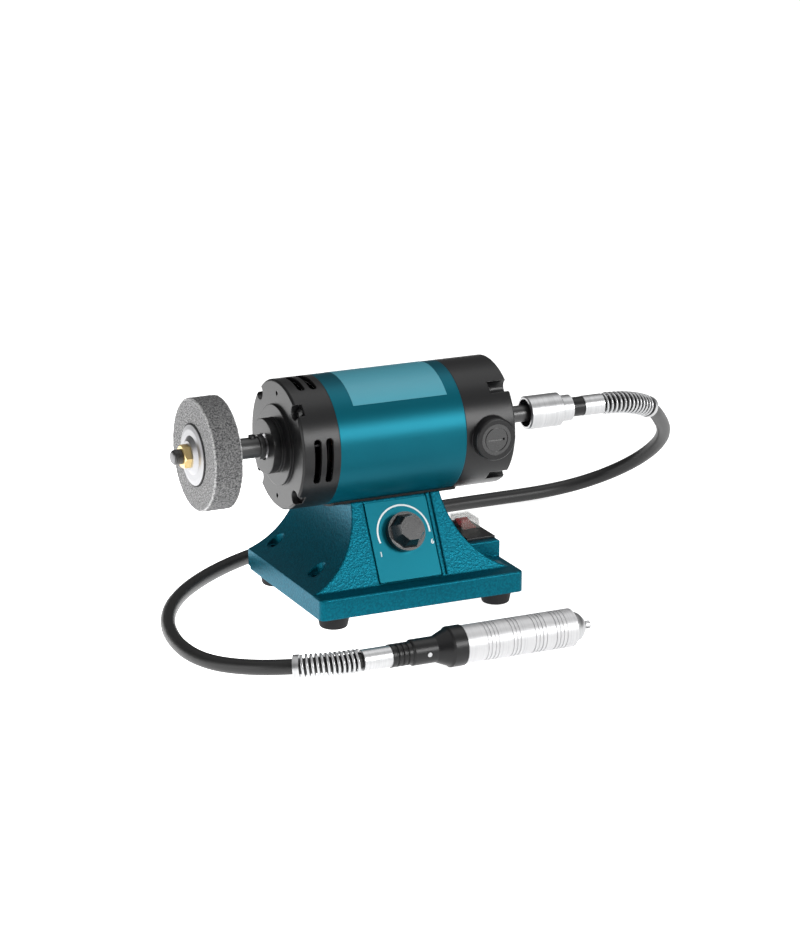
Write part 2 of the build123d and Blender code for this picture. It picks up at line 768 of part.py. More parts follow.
# Cap screws
stack_right = stack_left + stack_length
left_screw_seat = left_face + left_notch
left_screw = rod_x(left_screw_seat - screw_head, left_screw_seat - snug, screw_head_radius, 0,
                   axis_height + screw_circle)
left_screw += rod_x(left_screw_seat - screw_head / 2, stack_left + screw_bite, screw_radius, 0,
                    axis_height + screw_circle)
right_screw = rod_x(right_floor + snug, right_floor + screw_head, screw_head_radius, 0, axis_height + screw_circle)
right_screw += rod_x(stack_right - screw_bite, right_floor + screw_head / 2, screw_radius, 0,
                     axis_height + screw_circle)
save("cap_screws", *ring_of(left_screw, 4, screw_angle), *ring_of(right_screw, 4, screw_angle))

# Stator core: yoke ring with two poles, and its field coils
stator_bore = shell_bore - stator_depth
armature_radius = stator_bore - air_gap
pole_radius = stator_bore + pole_shoe
yoke_inner = shell_bore - yoke_depth
coil_low = pole_radius + free
coil_high = coil_low + coil_height
coil_half = math.sqrt(yoke_inner ** 2 - coil_high ** 2) - coil_gap
stator = tube_x(stack_left, stack_right, shell_bore - snug, yoke_inner)
shoe = tube_x(stack_left, stack_right, pole_radius, stator_bore)
shoe_half = pole_radius * math.sin(math.radians(pole_span))
for sign in (-1, 1):
    z_in = axis_height + sign * stator_bore * math.cos(math.radians(pole_span))
    z_out = axis_height + sign * shell_radius
    stator += shoe & block(stack_left, stack_right, -shoe_half, shoe_half, min(z_in, z_out), max(z_in, z_out))
    z_neck = axis_height + sign * (stator_bore + air_gap)
    z_yoke = axis_height + sign * (yoke_inner + air_gap)
    stator += block(stack_left, stack_right, -pole_neck_width / 2, pole_neck_width / 2, min(z_neck, z_yoke),
                    max(z_neck, z_yoke))
stator -= rod_x(stack_left - overrun, stack_right + overrun, stator_bore)
stator_hole = rod_x(shell_left, shell_right, screw_radius + snug, 0, axis_height + screw_circle)
for hole in ring_of(stator_hole, 4, screw_angle):
    stator -= hole
save("stator_core", stator)

coils = []
for sign in (-1, 1):
    z_a = axis_height + sign * coil_low
    z_b = axis_height + sign * coil_high
    coil = block(stack_left - coil_overhang, stack_right + coil_overhang, -coil_half, coil_half,
                 min(z_a, z_b), max(z_a, z_b))
    coil = fillet(coil.edges().filter_by(Axis.Z), coil_overhang / 2)
    coils.append(coil - block(stack_left - snug, stack_right + snug, -pole_neck_width / 2 - snug,
                              pole_neck_width / 2 + snug, min(z_a, z_b) - overrun, max(z_a, z_b) + overrun))
save("field_coils", *coils)

# Motor shaft, armature, commutator and fan
shaft_left = left_boss_face - shaft_out_left
shaft_step = right_seat_left - shoulder_gap
shaft_right = right_face + shaft_out_right
save("motor_shaft", turned([(shaft_left, 0), (shaft_left, shaft_radius), (shaft_step, shaft_radius),
                            (shaft_step, journal_radius), (shaft_right, journal_radius), (shaft_right, 0)]))
armature = tube_x(stack_left, stack_right, armature_radius, shaft_radius + snug)
slot_width = slot_width_share * math.tau * armature_radius / armature_slots
slot_depth = slot_depth_share * (armature_radius - shaft_radius)
slot = block(stack_left - overrun, stack_right + overrun, -slot_width / 2, slot_width / 2,
             axis_height + armature_radius - slot_depth, axis_height + armature_radius + overrun)
for cut in ring_of(slot, armature_slots):
    armature -= cut
save("armature_core", armature)

winding_radius = armature_radius - winding_inset
windings = []
for x0, x1 in [(stack_left - winding_gap - winding_left, stack_left - winding_gap),
               (stack_right + winding_gap, stack_right + winding_gap + winding_right)]:
    end = tube_x(x0, x1, winding_radius, shaft_radius + snug)
    windings.append(fillet(end.edges().sort_by(SortBy.LENGTH)[-2:], winding_edge))
save("armature_windings", *windings)

commutator = turned([(commutator_left, shaft_radius + snug), (commutator_left, riser_radius),
                     (commutator_left + riser, riser_radius), (commutator_left + riser, commutator_radius),
                     (commutator_right, commutator_radius), (commutator_right, shaft_radius + snug)])
bar_cut = block(commutator_left + riser, commutator_right + overrun, -bar_gap / 2, bar_gap / 2,
                axis_height + commutator_radius - bar_gap_depth, axis_height + commutator_radius + overrun)
for cut in ring_of(bar_cut, commutator_bars):
    commutator -= cut
save("commutator", commutator)

fan_right = shell_left - fan_gap
fan_left = fan_right - fan_plate - fan_blade_length
fan = tube_x(fan_right - fan_plate, fan_right, fan_radius, shaft_radius + snug)
fan += tube_x(fan_left, fan_right, fan_hub_radius, shaft_radius + snug)
blade = block(fan_left, fan_right - fan_plate / 2, -fan_blade / 2, fan_blade / 2,
              axis_height + fan_hub_radius - fan_blade, axis_height + fan_radius - fan_blade)
for vane in ring_of(blade, fan_blades):
    fan += vane
save("cooling_fan", fan)


bearing_rings = {}


def bearing(group, x0, width, outer_radius, bore_radius, y=0, z=axis_height):
    """Sealed ball bearing as its two rings, which part along a small running gap."""
    part = bore_radius + ring_share * (outer_radius - bore_radius)
    outer_ring = tube_x(x0, x0 + width, outer_radius, part + ring_gap / 2, y, z)
    inner_ring = tube_x(x0, x0 + width, part - ring_gap / 2, bore_radius + snug, y, z)
    bearing_rings.setdefault(group + "_outer_rings", []).append(outer_ring)
    bearing_rings.setdefault(group + "_inner_rings", []).append(inner_ring)


bearing("shaft_bearing", left_seat_left + snug, left_bearing_width - snug, left_bearing_radius, shaft_radius)
bearing("shaft_bearing", right_seat_left, right_bearing_width - snug, right_bearing_radius, journal_radius)

# Brush gear on the front and the back of the right cap
holders = []
brushes = []
springs = []
caps = []
holder_in = brush_tube_inner - holder_out
holder_length = brush_seat - holder_in - holder_end_gap
brush_in = commutator_radius + brush_gap
spring_in = brush_in + brush_length
cap_in = brush_boss_face - brush_seat_depth + snug
for sign in (-1, 1):
    turn = 0 if sign < 0 else 180
    spin = Axis((brush_x, 0, axis_height), (0, 0, 1))
    holder = rod_y(-holder_in - holder_length, -holder_in, holder_radius, brush_x, axis_height)
    hx = brush_width / 2 + brush_slide
    hz = brush_height / 2 + brush_slide
    holder -= block(brush_x - hx, brush_x + hx, -cap_in, 0, axis_height - hz, axis_height + hz)
    holders.append(holder.rotate(spin, turn))
    brush = block(brush_x - brush_width / 2, brush_x + brush_width / 2, -spring_in, -commutator_radius / 2,
                  axis_height - brush_height / 2, axis_height + brush_height / 2)
    brush -= rod_x(commutator_left, commutator_right + overrun, brush_in)
    brushes.append(brush.rotate(spin, turn))
    rounds = brush_spring_turns
    reach = cap_in - spring_in - 2 * brush_spring_wire
    coil_path = Helix(reach / rounds, reach, brush_spring_radius, direction=(0, -1, 0),
                      center=(brush_x, -spring_in - brush_spring_wire, axis_height))
    wire = sweep(Plane(origin=coil_path @ 0, z_dir=coil_path % 0) * Circle(brush_spring_wire / 2), path=coil_path)
    springs.append(wire.rotate(spin, turn))
    cap = rod_y(-brush_boss_face, -cap_in, brush_cap_radius, brush_x, axis_height)
    ring = rod_y(-brush_boss_face - overrun, -brush_boss_face + brush_cap_groove, brush_cap_ring, brush_x, axis_height)
    ring -= rod_y(-brush_boss_face - overrun, -brush_boss_face + overrun, brush_cap_ring - brush_cap_groove, brush_x,
                  axis_height)
    half = brush_cap_slot_length / 2
    slot_cut = block(brush_x - half, brush_x + half, -brush_boss_face - overrun,
                     -brush_boss_face + brush_cap_slot_depth, axis_height - brush_cap_slot / 2,
                     axis_height + brush_cap_slot / 2)
    caps.append((cap - ring - slot_cut).rotate(spin, turn))
save("brush_holders", *holders)
save("carbon_brushes", *brushes)
save("brush_springs", *springs)
save("brush_caps", *caps)

# Left spindle adapter with its threaded end, wheel and clamping parts
adapter_left = shaft_left - adapter_wall
wheel_right = adapter_left - inner_flange
wheel_left = wheel_right - wheel_width
paper_left = wheel_left - paper
flange_left = paper_left - outer_flange
hub_left = flange_left - outer_flange_hub
nut_left = hub_left - snug - nut_height
stud_end = nut_left - stud_out
adapter_right = left_boss_face - adapter_gap
adapter_floor = shaft_left - snug
grub_x = adapter_right - adapter_collar - grub_inset
adapter = turned([
    (stud_end, 0), (stud_end, stud_radius - stud_edge), (stud_end + stud_edge, stud_radius),
    (adapter_left, stud_radius), (adapter_left, adapter_radius), (adapter_right - adapter_collar, adapter_radius),
    (adapter_right - adapter_collar, adapter_collar_radius), (adapter_right, adapter_collar_radius),
    (adapter_right, shaft_radius + snug), (adapter_floor, shaft_radius + snug), (adapter_floor, 0)])
adapter -= rod_z(axis_height + shaft_radius - snug, axis_height + adapter_radius + overrun,
                 grub_radius + snug, grub_x, 0)
save("spindle_adapter", adapter)
save("grub_screw", rod_z(axis_height + shaft_radius + snug, axis_height + shaft_radius + grub_length, grub_radius,
                         grub_x, 0))
save("inner_flange", turned([
    (wheel_right, stud_radius + snug), (wheel_right, inner_flange_radius),
    (wheel_right + inner_flange / 2, inner_flange_radius), (adapter_left - snug, adapter_radius),
    (adapter_left - snug, stud_radius + snug)]))
wheel = turned([
    (wheel_left, stud_radius + snug), (wheel_left, wheel_radius - wheel_edge), (wheel_left + wheel_edge, wheel_radius),
    (wheel_right - wheel_edge, wheel_radius), (wheel_right - snug, wheel_radius - wheel_edge),
    (wheel_right - snug, stud_radius + snug)])
save("wheel", wheel)
save("paper_washer", tube_x(paper_left, wheel_left - snug, paper_radius, stud_radius + snug))
save("outer_flange", turned([
    (paper_left - snug, stud_radius + snug), (paper_left - snug, outer_flange_radius),
    (flange_left + outer_flange_dish, outer_flange_radius), (flange_left, outer_flange_radius - outer_flange_rim),
    (flange_left, outer_flange_root_radius), (hub_left, outer_flange_hub_radius), (hub_left, stud_radius + snug)]))
nut_plane = Plane(origin=(hub_left - snug, 0, axis_height), x_dir=(0, 1, 0), z_dir=(-1, 0, 0))
nut = extrude(nut_plane * RegularPolygon(nut_width / 2, 6, major_radius=False), nut_height)
nut_corner = nut_width / math.sqrt(3)
nut &= turned([(hub_left, 0), (hub_left, nut_width), (nut_left + nut_chamfer, nut_corner),
               (nut_left, nut_width / 2), (nut_left, 0)])
nut -= rod_x(stud_end, wheel_left, stud_radius + snug)
save("spindle_nut", nut)

# Right drive shank with the flexible core's driver, and the sleeve that stands still round it
sleeve_left = right_face + sleeve_out
sleeve_shoulder = sleeve_left + sleeve_body
sleeve_right = sleeve_left + sleeve_length
sleeve_bearing_left = sleeve_left + sleeve_bearing_seat
sleeve_bore = sleeve_bearing_radius
shank_left = right_face + shank_gap
shank_right = sleeve_bearing_left - shank_inset
driver_right = sleeve_shoulder + snug
shank = turned([
    (shank_left, journal_radius + snug), (shank_left, shank_radius), (shank_right, shank_radius),
    (shank_right, drive_radius), (driver_right, drive_radius), (driver_right, 0), (shaft_right + snug, 0),
    (shaft_right + snug, journal_radius + snug)])
save("drive_shank", shank)
bearing_right = sleeve_bearing_left + sleeve_bearing_width
bearing("shaft_bearing", sleeve_bearing_left + snug, sleeve_bearing_width - snug, sleeve_bearing_radius, drive_radius)
sleeve = turned([
    (sleeve_left, sleeve_bore + snug), (sleeve_left, sleeve_radius - sleeve_edge),
    (sleeve_left + sleeve_edge, sleeve_radius), (sleeve_shoulder - sleeve_edge, sleeve_radius),
    (sleeve_shoulder, sleeve_radius - sleeve_edge), (sleeve_shoulder, sleeve_neck_radius),
    (sleeve_right, sleeve_neck_radius), (sleeve_right, collar_spigot + snug), (bearing_right, collar_spigot + snug),
    (bearing_right, sleeve_bore + snug)])
save("coupling_sleeve", sleeve)
save("retaining_ring", tube_x(sleeve_bearing_left - circlip, sleeve_bearing_left - snug, sleeve_bore,
                              sleeve_bore - circlip_width))
collar_left = sleeve_right - collar_spigot_length
collar_right = sleeve_right + collar_length
save("sheath_collar", turned([
    (collar_left, collar_bore), (collar_left, collar_spigot), (sleeve_right + snug, collar_spigot),
    (sleeve_right + snug, collar_radius), (collar_right, collar_radius), (collar_right, collar_bore)]))

# Flexible shaft: hose, core, ferrules, end rings and guard springs
ferrule_right = collar_right + ferrule_length
hose_start = collar_right + hose_seat
hose_end = hand_ferrule_left + hand_hose_seat
connector_left = hand_ferrule_left + hand_ferrule_length
tail_left = connector_left + connector_length

# The flexible shaft's route, chosen by hand, from the motor ferrule to the handpiece ferrule
hose_route = [
    (hose_start, 0.0, axis_height), (ferrule_right + hose_lead, 0.0, axis_height),
    (196.6, 6.5, 108.76), (215.5, 18.3, 99.79), (230.5, 34.2, 87.71),
    (246.5, 53.3, 73.19), (256.0, 71.6, 59.28), (258.5, 90.0, 45.3), (253.9, 108.7, 31.1), (240.9, 125.3, 18.5),
    (220.7, 137.0, 9.6), (193.5, 142.4, 5.5), (157.0, 143.5, 5.0), (116.0, 143.0, 5.0), (75.0, 138.8, 5.0),
    (34.0, 130.5, 5.0), (-7.0, 117.5, 5.0), (-47.5, 101.5, 5.0), (-85.0, 81.5, 5.0), (-118.0, 55.5, 5.0),
    (-143.0, 27.0, 5.0), (-160.5, -5.0, 5.0), (-169.5, -38.0, 5.0), (-171.0, -68.0, 5.0), (-165.0, -91.0, 5.2),
    (-154.0, -109.0, 6.7), (-141.0, -126.0, 9.6), (-122.5, -140.0, 12.4),
    (hand_ferrule_left - hand_hose_lead, hand_y, hand_z), (hose_end, hand_y, hand_z)]


def rounded_route(points):
    """Straight runs joined by tangent arcs that take a set share of the shorter run."""
    points = [Vector(*p) for p in points]
    radii = []
    for a, b, c in zip(points, points[1:], points[2:]):
        turn = math.radians((b - a).get_angle(c - b))
        radii.append(bend_share * min((b - a).length, (c - b).length) / math.tan(turn / 2))
    return FilletPolyline(*points, radius=radii), radii


def swept(path, outer_radius, inner_radius=0):
    section = Circle(outer_radius)
    if inner_radius:
        section -= Circle(inner_radius)
    return sweep(Plane(origin=path @ 0, z_dir=path % 0) * section, path=path)


hose_path, bend_radii = rounded_route(hose_route)
print("hose bend radii", [round(r) for r in bend_radii])
print("hose length", round(hose_path.length, 1))
hose = swept(hose_path, hose_radius, hose_bore)
hose_section = math.pi * (hose_radius ** 2 - hose_bore ** 2)
print("hose volume against section times length", round(hose.volume / (hose_section * hose_path.length), 4))
save("flex_hose", hose)
core_end = tail_left
core_route = [(driver_right + free, 0, axis_height)] + hose_route[1:-1] + [(core_end, hand_y, hand_z)]
core_path, _ = rounded_route(core_route)
save("flex_core", swept(core_path, core_radius))

motor_ferrule = turned([
    (collar_right + snug, collar_bore), (collar_right + snug, ferrule_radius), (ferrule_right, ferrule_radius),
    (ferrule_right, hose_radius + hose_fit), (hose_start - snug, hose_radius + hose_fit),
    (hose_start - snug, collar_bore)])
hand_ferrule = turned([
    (hand_ferrule_left, hose_radius + hose_fit), (hand_ferrule_left, ferrule_radius),
    (connector_left - snug, ferrule_radius), (connector_left - snug, collar_bore), (hose_end + snug, collar_bore),
    (hose_end + snug, hose_radius + hose_fit)], hand_y, hand_z)
save("hose_ferrules", motor_ferrule, hand_ferrule)


def place(s):
    return hose_path.position_at(s, position_mode=PositionMode.LENGTH)


def heading(s):
    return hose_path.tangent_at(s, position_mode=PositionMode.LENGTH)


def end_ring(s):
    plane = Plane(origin=place(s - end_ring_length / 2), z_dir=heading(s))
    section = Circle(end_ring_radius) - Circle(hose_radius + 2 * hose_fit)
    return extrude(plane * section, end_ring_length)


def biarc(p0, t0, p1, t1):
    """Two arcs from p0 to p1 that share a tangent where they meet."""
    v = p1 - p0
    w = t0 + t1
    a = 4 - w.dot(w)
    d = (math.sqrt(v.dot(w) ** 2 + a * v.dot(v)) - v.dot(w)) / a
    q0 = p0 + t0 * d
    q1 = p1 - t1 * d
    join = (q0 + q1) / 2
    return [TangentArc(p0, join, tangent=t0), TangentArc(join, p1, tangent=(q1 - q0).normalized())]


def guard(name, first, last, turns, normal):
    """Guard spring wound round the hose between two stations of its path."""

    def point(share):
        s = first + (last - first) * share
        ahead = heading(s)
        across = Vector(*normal).cross(ahead).normalized()
        up = ahead.cross(across)
        angle = 2 * math.pi * turns * share
        return place(s) + across * (guard_radius * math.cos(angle)) + up * (guard_radius * math.sin(angle))

    steps = 4 * turns
    small = 1 / (steps * 100)
    nodes = [point(i / steps) for i in range(steps + 1)]
    ways = [(point(i / steps + small) - point(i / steps - small)).normalized() for i in range(steps + 1)]
    edges = [Line(nodes[0] - ways[0] * guard_wire, nodes[0])]
    for i in range(steps):
        edges += biarc(nodes[i], ways[i], nodes[i + 1], ways[i + 1])
    edges.append(Line(nodes[-1], nodes[-1] + ways[-1] * guard_wire))
    path = Wire(edges)
    spring = sweep(Plane(origin=path @ 0, z_dir=path % 0) * Circle(guard_wire / 2), path=path)
    count = 24 * turns
    samples = [point(i / count) for i in range(count + 1)]
    least = min((samples[i] - samples[j]).length for i in range(count + 1) for j in range(i + 12, count + 1))
    print(name, "turns", turns, "least gap to itself", round(least - guard_wire, 2))
    save(name, spring)


motor_guard_start = ferrule_right - hose_start + guard_gap + guard_wire / 2
motor_ring_low = motor_ring_at - end_ring_length / 2
guard("motor_end_spring", motor_guard_start, motor_ring_low - guard_gap - guard_wire / 2, motor_guard_turns,
      motor_guard_normal)
hand_guard_end = hose_path.length - (hose_end - hand_ferrule_left) - guard_gap - guard_wire / 2
hand_ring_at = hose_path.length - (hose_end - hand_ferrule_left) - hand_guard_length
save("hose_end_rings", end_ring(motor_ring_at), end_ring(hand_ring_at))
guard("hand_end_spring", hand_ring_at + end_ring_length / 2 + guard_gap + guard_wire / 2, hand_guard_end,
      hand_guard_turns, (0, 0, 1))

# Handpiece
connector = [(connector_left, collar_bore), (connector_left, connector_radius)]
groove_pitch = (tail_left - connector_left) / (connector_grooves + 1)
for i in range(connector_grooves):
    x = connector_left + groove_pitch * (i + 1)
    half = connector_groove_width / 2
    deep = connector_radius - connector_groove
    connector += [(x - half, connector_radius), (x - half, deep), (x + half, deep), (x + half, connector_radius)]
connector += [(tail_left - snug, connector_radius), (tail_left - snug, collar_bore)]
save("handpiece_connector", turned(connector, hand_y, hand_z))

tail_bore = spindle_radius + free
tail_neck_right = tail_left + tail_neck
bell_right = tail_neck_right + bell_length
body_left = bell_right + band_length
body_right = body_left + body_length
detent_x = tail_left + detent_inset
tail = turned([
    (tail_left, tail_bore), (tail_left, tail_radius - tail_edge), (tail_left + tail_edge, tail_radius),
    (tail_neck_right, tail_radius), (bell_right - tail_edge, bell_radius - tail_edge), (bell_right, bell_radius),
    (body_left - snug, bell_radius), (body_left - snug, body_bore - snug),
    (body_left + tail_spigot, body_bore - snug), (body_left + tail_spigot, tail_bore)], hand_y, hand_z)
detent_low = hand_y - tail_radius
tail -= rod_y(detent_low - overrun, detent_low + detent_seat, detent_radius + snug, detent_x, hand_z)
save("handpiece_tail", tail)
pin = rod_y(detent_low - detent_rise, detent_low + detent_seat - snug, detent_radius, detent_x, hand_z)
save("detent_pin", fillet(pin.edges().group_by(Axis.Y)[0], detent_rise))

body = [(body_left, body_bore), (body_left, body_radius)]
for share, count in zip(grip_shares, grip_counts):
    for i in range(count):
        x = body_left + share * body_length + i * grip_pitch
        deep = body_radius - grip_depth
        body += [(x, body_radius), (x, deep), (x + grip_width, deep), (x + grip_width, body_radius)]
body += [(body_right - body_nose, body_radius), (body_right, body_nose_radius), (body_right, body_nose_bore),
         (body_right - body_nose_wall, body_nose_bore), (body_right - body_nose_wall, body_bore)]
save("handpiece_body", turned(body, hand_y, hand_z))

rear_bearing = body_left + tail_spigot + snug
hand_bearing_front = body_right - front_bearing_inset
bearing("hand_bearing", rear_bearing, hand_bearing_width, body_bore - snug, spindle_radius, hand_y, hand_z)
bearing("hand_bearing", hand_bearing_front, hand_bearing_width, body_bore - snug, spindle_radius, hand_y, hand_z)
chuck_back = body_right + chuck_gap
stub_left = hand_bearing_front + hand_bearing_width + snug
spindle_right = stub_left + spindle_bite
chuck_cone_end = chuck_back + chuck_cone
chuck_tip_end = chuck_cone_end + chuck_tip
save("handpiece_spindle", rod_x(core_end + free, spindle_right - snug, spindle_radius, hand_y, hand_z))
chuck = turned([
    (stub_left, spindle_radius + snug), (stub_left, chuck_stub_radius), (chuck_back, chuck_stub_radius),
    (chuck_back, chuck_flange_radius), (chuck_cone_end, chuck_cone_radius), (chuck_cone_end, chuck_tip_radius),
    (chuck_tip_end - chuck_gap, chuck_tip_radius), (chuck_tip_end, chuck_tip_radius - chuck_gap),
    (chuck_tip_end, collet_bore), (chuck_tip_end - collet_depth, collet_bore), (chuck_tip_end - collet_depth, 0),
    (spindle_right, 0), (spindle_right, spindle_radius + snug)], hand_y, hand_z)
save("handpiece_chuck", chuck)

for name, rings in bearing_rings.items():
    save(name, *rings)
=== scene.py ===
import json
import math

import bmesh
import bpy
from mathutils import Matrix, Vector


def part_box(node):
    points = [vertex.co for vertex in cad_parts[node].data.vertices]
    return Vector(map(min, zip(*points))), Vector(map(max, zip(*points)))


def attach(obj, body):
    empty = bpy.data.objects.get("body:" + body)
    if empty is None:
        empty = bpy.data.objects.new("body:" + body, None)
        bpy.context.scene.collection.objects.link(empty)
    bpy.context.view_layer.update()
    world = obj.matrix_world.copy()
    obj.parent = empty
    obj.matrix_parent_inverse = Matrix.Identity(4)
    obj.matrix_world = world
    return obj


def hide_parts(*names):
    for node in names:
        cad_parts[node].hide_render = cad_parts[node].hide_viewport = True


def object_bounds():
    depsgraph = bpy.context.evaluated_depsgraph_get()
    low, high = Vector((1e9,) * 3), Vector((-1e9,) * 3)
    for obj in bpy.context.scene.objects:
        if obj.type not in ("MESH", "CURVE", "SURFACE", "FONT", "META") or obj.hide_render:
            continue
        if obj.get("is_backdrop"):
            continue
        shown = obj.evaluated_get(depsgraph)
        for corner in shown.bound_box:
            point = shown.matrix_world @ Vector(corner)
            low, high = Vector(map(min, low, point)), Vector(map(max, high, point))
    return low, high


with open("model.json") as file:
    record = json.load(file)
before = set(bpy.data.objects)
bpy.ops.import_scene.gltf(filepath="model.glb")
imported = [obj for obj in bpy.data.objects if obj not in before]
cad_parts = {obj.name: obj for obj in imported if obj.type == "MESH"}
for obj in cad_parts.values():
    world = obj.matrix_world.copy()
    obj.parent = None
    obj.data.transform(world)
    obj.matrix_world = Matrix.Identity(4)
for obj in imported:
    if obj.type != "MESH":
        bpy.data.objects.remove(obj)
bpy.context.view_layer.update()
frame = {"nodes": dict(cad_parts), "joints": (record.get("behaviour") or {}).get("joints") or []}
joints = {joint["name"]: joint for joint in frame["joints"]}

# Base casting: one heavy casting that flares from a plate up to the motor's saddle.
# Die-cast metal, fettled and sprayed with a hammer-finish enamel, which dries in small
# shallow dimples and glints at their rims.


def linear(code):
    """An sRGB hex colour as linear RGBA."""
    parts = [int(code[i:i + 2], 16) / 255 for i in (0, 2, 4)]
    return (*[p / 12.92 if p <= 0.04045 else ((p + 0.055) / 1.055) ** 2.4 for p in parts], 1)


def add(made, kind, inputs=None, **settings):
    """Adds a node to a material, with its settings, its values and its links."""
    node = made.node_tree.nodes.new(kind)
    for name, value in settings.items():
        setattr(node, name, value)
    for name, value in (inputs or {}).items():
        if isinstance(value, bpy.types.NodeSocket):
            made.node_tree.links.new(value, node.inputs[name])
        else:
            node.inputs[name].default_value = value
    return node


def start(name):
    """A new empty material and its Object coordinates."""
    made = bpy.data.materials.new(name)
    made.use_nodes = True
    made.node_tree.nodes.clear()
    return made, add(made, "ShaderNodeTexCoord").outputs["Object"]


def close(made, inputs):
    """Gives a material its shader and its output."""
    shader = add(made, "ShaderNodeBsdfPrincipled", inputs)
    add(made, "ShaderNodeOutputMaterial", {"Surface": shader.outputs["BSDF"]})
    return made


def dress(made, *nodes):
    """Puts a material on CAD nodes."""
    for name in nodes:
        mesh = frame["nodes"][name].data
        mesh.materials.clear()
        mesh.materials.append(made)


# Hammer-finish enamel: a teal paint with metal flake, so its gloss is teal too. The cells that it dries in
# are about 1.4 mm across; their domes are painted lighter as a highlight and the creases between them
# darker as painted shade, and it rounds off the edges that it covers.
cell_mm = 1.4
drift_mm = 4
drift_reach = 0.004
edge_mm = 1.5
made, at = start("hammered_enamel")
drift = add(made, "ShaderNodeTexNoise", {"Vector": at, "Scale": 1000 / drift_mm, "Detail": 2.0})
bent = add(made, "ShaderNodeVectorMath", {0: drift.outputs["Color"], 1: [drift_reach] * 3, 2: at},
           operation="MULTIPLY_ADD")
cells = add(made, "ShaderNodeTexVoronoi", {"Vector": bent.outputs["Vector"], "Scale": 1000 / cell_mm,
                                           "Smoothness": 0.7}, feature="SMOOTH_F1")
dome = add(made, "ShaderNodeMapRange", {"Value": cells.outputs["Distance"], "From Min": 0.7,
                                        "From Max": 0.0})
# Painted highlight and painted shade: the colour is lighter on each cell's dome and darker in the creases
# between cells.
tint = add(made, "ShaderNodeMixRGB", {"Fac": dome.outputs["Result"], "Color1": linear("004A5A"),
                                      "Color2": linear("006072")})
edges = add(made, "ShaderNodeBevel", {"Radius": edge_mm / 1000}, samples=6)
relief = add(made, "ShaderNodeBump", {"Height": dome.outputs["Result"], "Strength": 0.3,
                                      "Distance": 0.00028, "Normal": edges.outputs["Normal"]})
hammered = close(made, {"Base Color": tint.outputs["Color"], "Metallic": 0.5, "Roughness": 0.34,
                        "Specular IOR Level": 0.4, "Specular Tint": linear("78CFE2"),
                        "Normal": relief.outputs["Normal"]})
dress(hammered, "base_casting")

# Rubber feet: moulded rubber cones pushed into the corners of the plate.
# Matt black rubber with a faint bloom of dust and wear.
bloom_mm = 6
grain_mm = 0.6
made, at = start("moulded_rubber")
bloom = add(made, "ShaderNodeTexNoise", {"Vector": at, "Scale": 1000 / bloom_mm, "Detail": 3.0})
tint = add(made, "ShaderNodeMixRGB", {"Fac": bloom.outputs["Fac"], "Color1": linear("121212"),
                                      "Color2": linear("222223")})
grain = add(made, "ShaderNodeTexNoise", {"Vector": at, "Scale": 1000 / grain_mm, "Detail": 2.0})
relief = add(made, "ShaderNodeBump", {"Height": grain.outputs["Fac"], "Strength": 0.25, "Distance": 0.0002})
rubber = close(made, {"Base Color": tint.outputs["Color"], "Roughness": 0.62, "IOR": 1.52,
                      "Specular IOR Level": 0.15, "Normal": relief.outputs["Normal"]})
dress(rubber, "rubber_feet", "cable_bush", "saddle_pad")

# Bottom cover and its screws: a pressed sheet cover that closes the hollow casting.
# Blackened sheet steel, held by four pan-head screws with cross recesses.
pressed_mm = 4
made, at = start("blackened_steel")
patches = add(made, "ShaderNodeTexNoise", {"Vector": at, "Scale": 1000 / pressed_mm, "Detail": 4.0})
tint = add(made, "ShaderNodeMixRGB", {"Fac": patches.outputs["Fac"], "Color1": linear("0C0C0D"),
                                      "Color2": linear("232324")})
rough = add(made, "ShaderNodeMapRange", {"Value": patches.outputs["Fac"], "To Min": 0.28, "To Max": 0.46})
blackened = close(made, {"Base Color": tint.outputs["Color"], "Roughness": rough.outputs["Result"],
                         "IOR": 1.6, "Specular IOR Level": 0.6})
dress(blackened, "bottom_cover", "spindle_adapter", "drive_shank")

ring_stretch = 0.02    # how little a ring changes on its way round


def turned_lines(name, dark, light, line_mm, roughness, axis):
    """Bare metal with the fine rings that a lathe leaves round an axis."""
    made, at = start(name)
    squeeze = [ring_stretch] * 3
    squeeze[axis] = 1
    along = add(made, "ShaderNodeVectorMath", {0: at, 1: squeeze}, operation="MULTIPLY")
    rings = add(made, "ShaderNodeTexNoise", {"Vector": along.outputs["Vector"], "Scale": 1000 / line_mm,
                                             "Detail": 3.0})
    tint = add(made, "ShaderNodeMixRGB", {"Fac": rings.outputs["Fac"], "Color1": linear(dark),
                                          "Color2": linear(light)})
    relief = add(made, "ShaderNodeBump", {"Height": rings.outputs["Fac"], "Strength": 0.2,
                                          "Distance": 0.0001})
    return close(made, {"Base Color": tint.outputs["Color"], "Metallic": 1.0, "Roughness": roughness,
                        "Normal": relief.outputs["Normal"]})


steel_line_mm = 0.8
steel = turned_lines("turned_steel", "9A9A9C", "C4C4C6", steel_line_mm, 0.3, 0)
dress(steel, "motor_shaft", "inner_flange", "shaft_bearing_outer_rings", "shaft_bearing_inner_rings",
      "hand_bearing_outer_rings", "hand_bearing_inner_rings", "retaining_ring", "brush_springs",
      "motor_screws", "flex_core", "handpiece_spindle", "pot_shaft", "pot_nut")


def piece(name, bm, made, body, slot, *nodes):
    """Ends a bmesh as a piece at the origin, which rides on a body and stands for CAD nodes."""
    bmesh.ops.remove_doubles(bm, verts=bm.verts, dist=1e-6)
    bmesh.ops.recalc_face_normals(bm, faces=bm.faces)
    mesh = bpy.data.meshes.new(name)
    bm.to_mesh(mesh)
    bm.free()
    mesh.materials.append(made)
    mesh.shade_smooth()
    mesh.set_sharp_from_angle(angle=math.radians(35))
    made_piece = bpy.data.objects.new(name, mesh)
    bpy.context.scene.collection.objects.link(made_piece)
    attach(made_piece, body)
    if nodes:
        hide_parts(*nodes)
    return made_piece


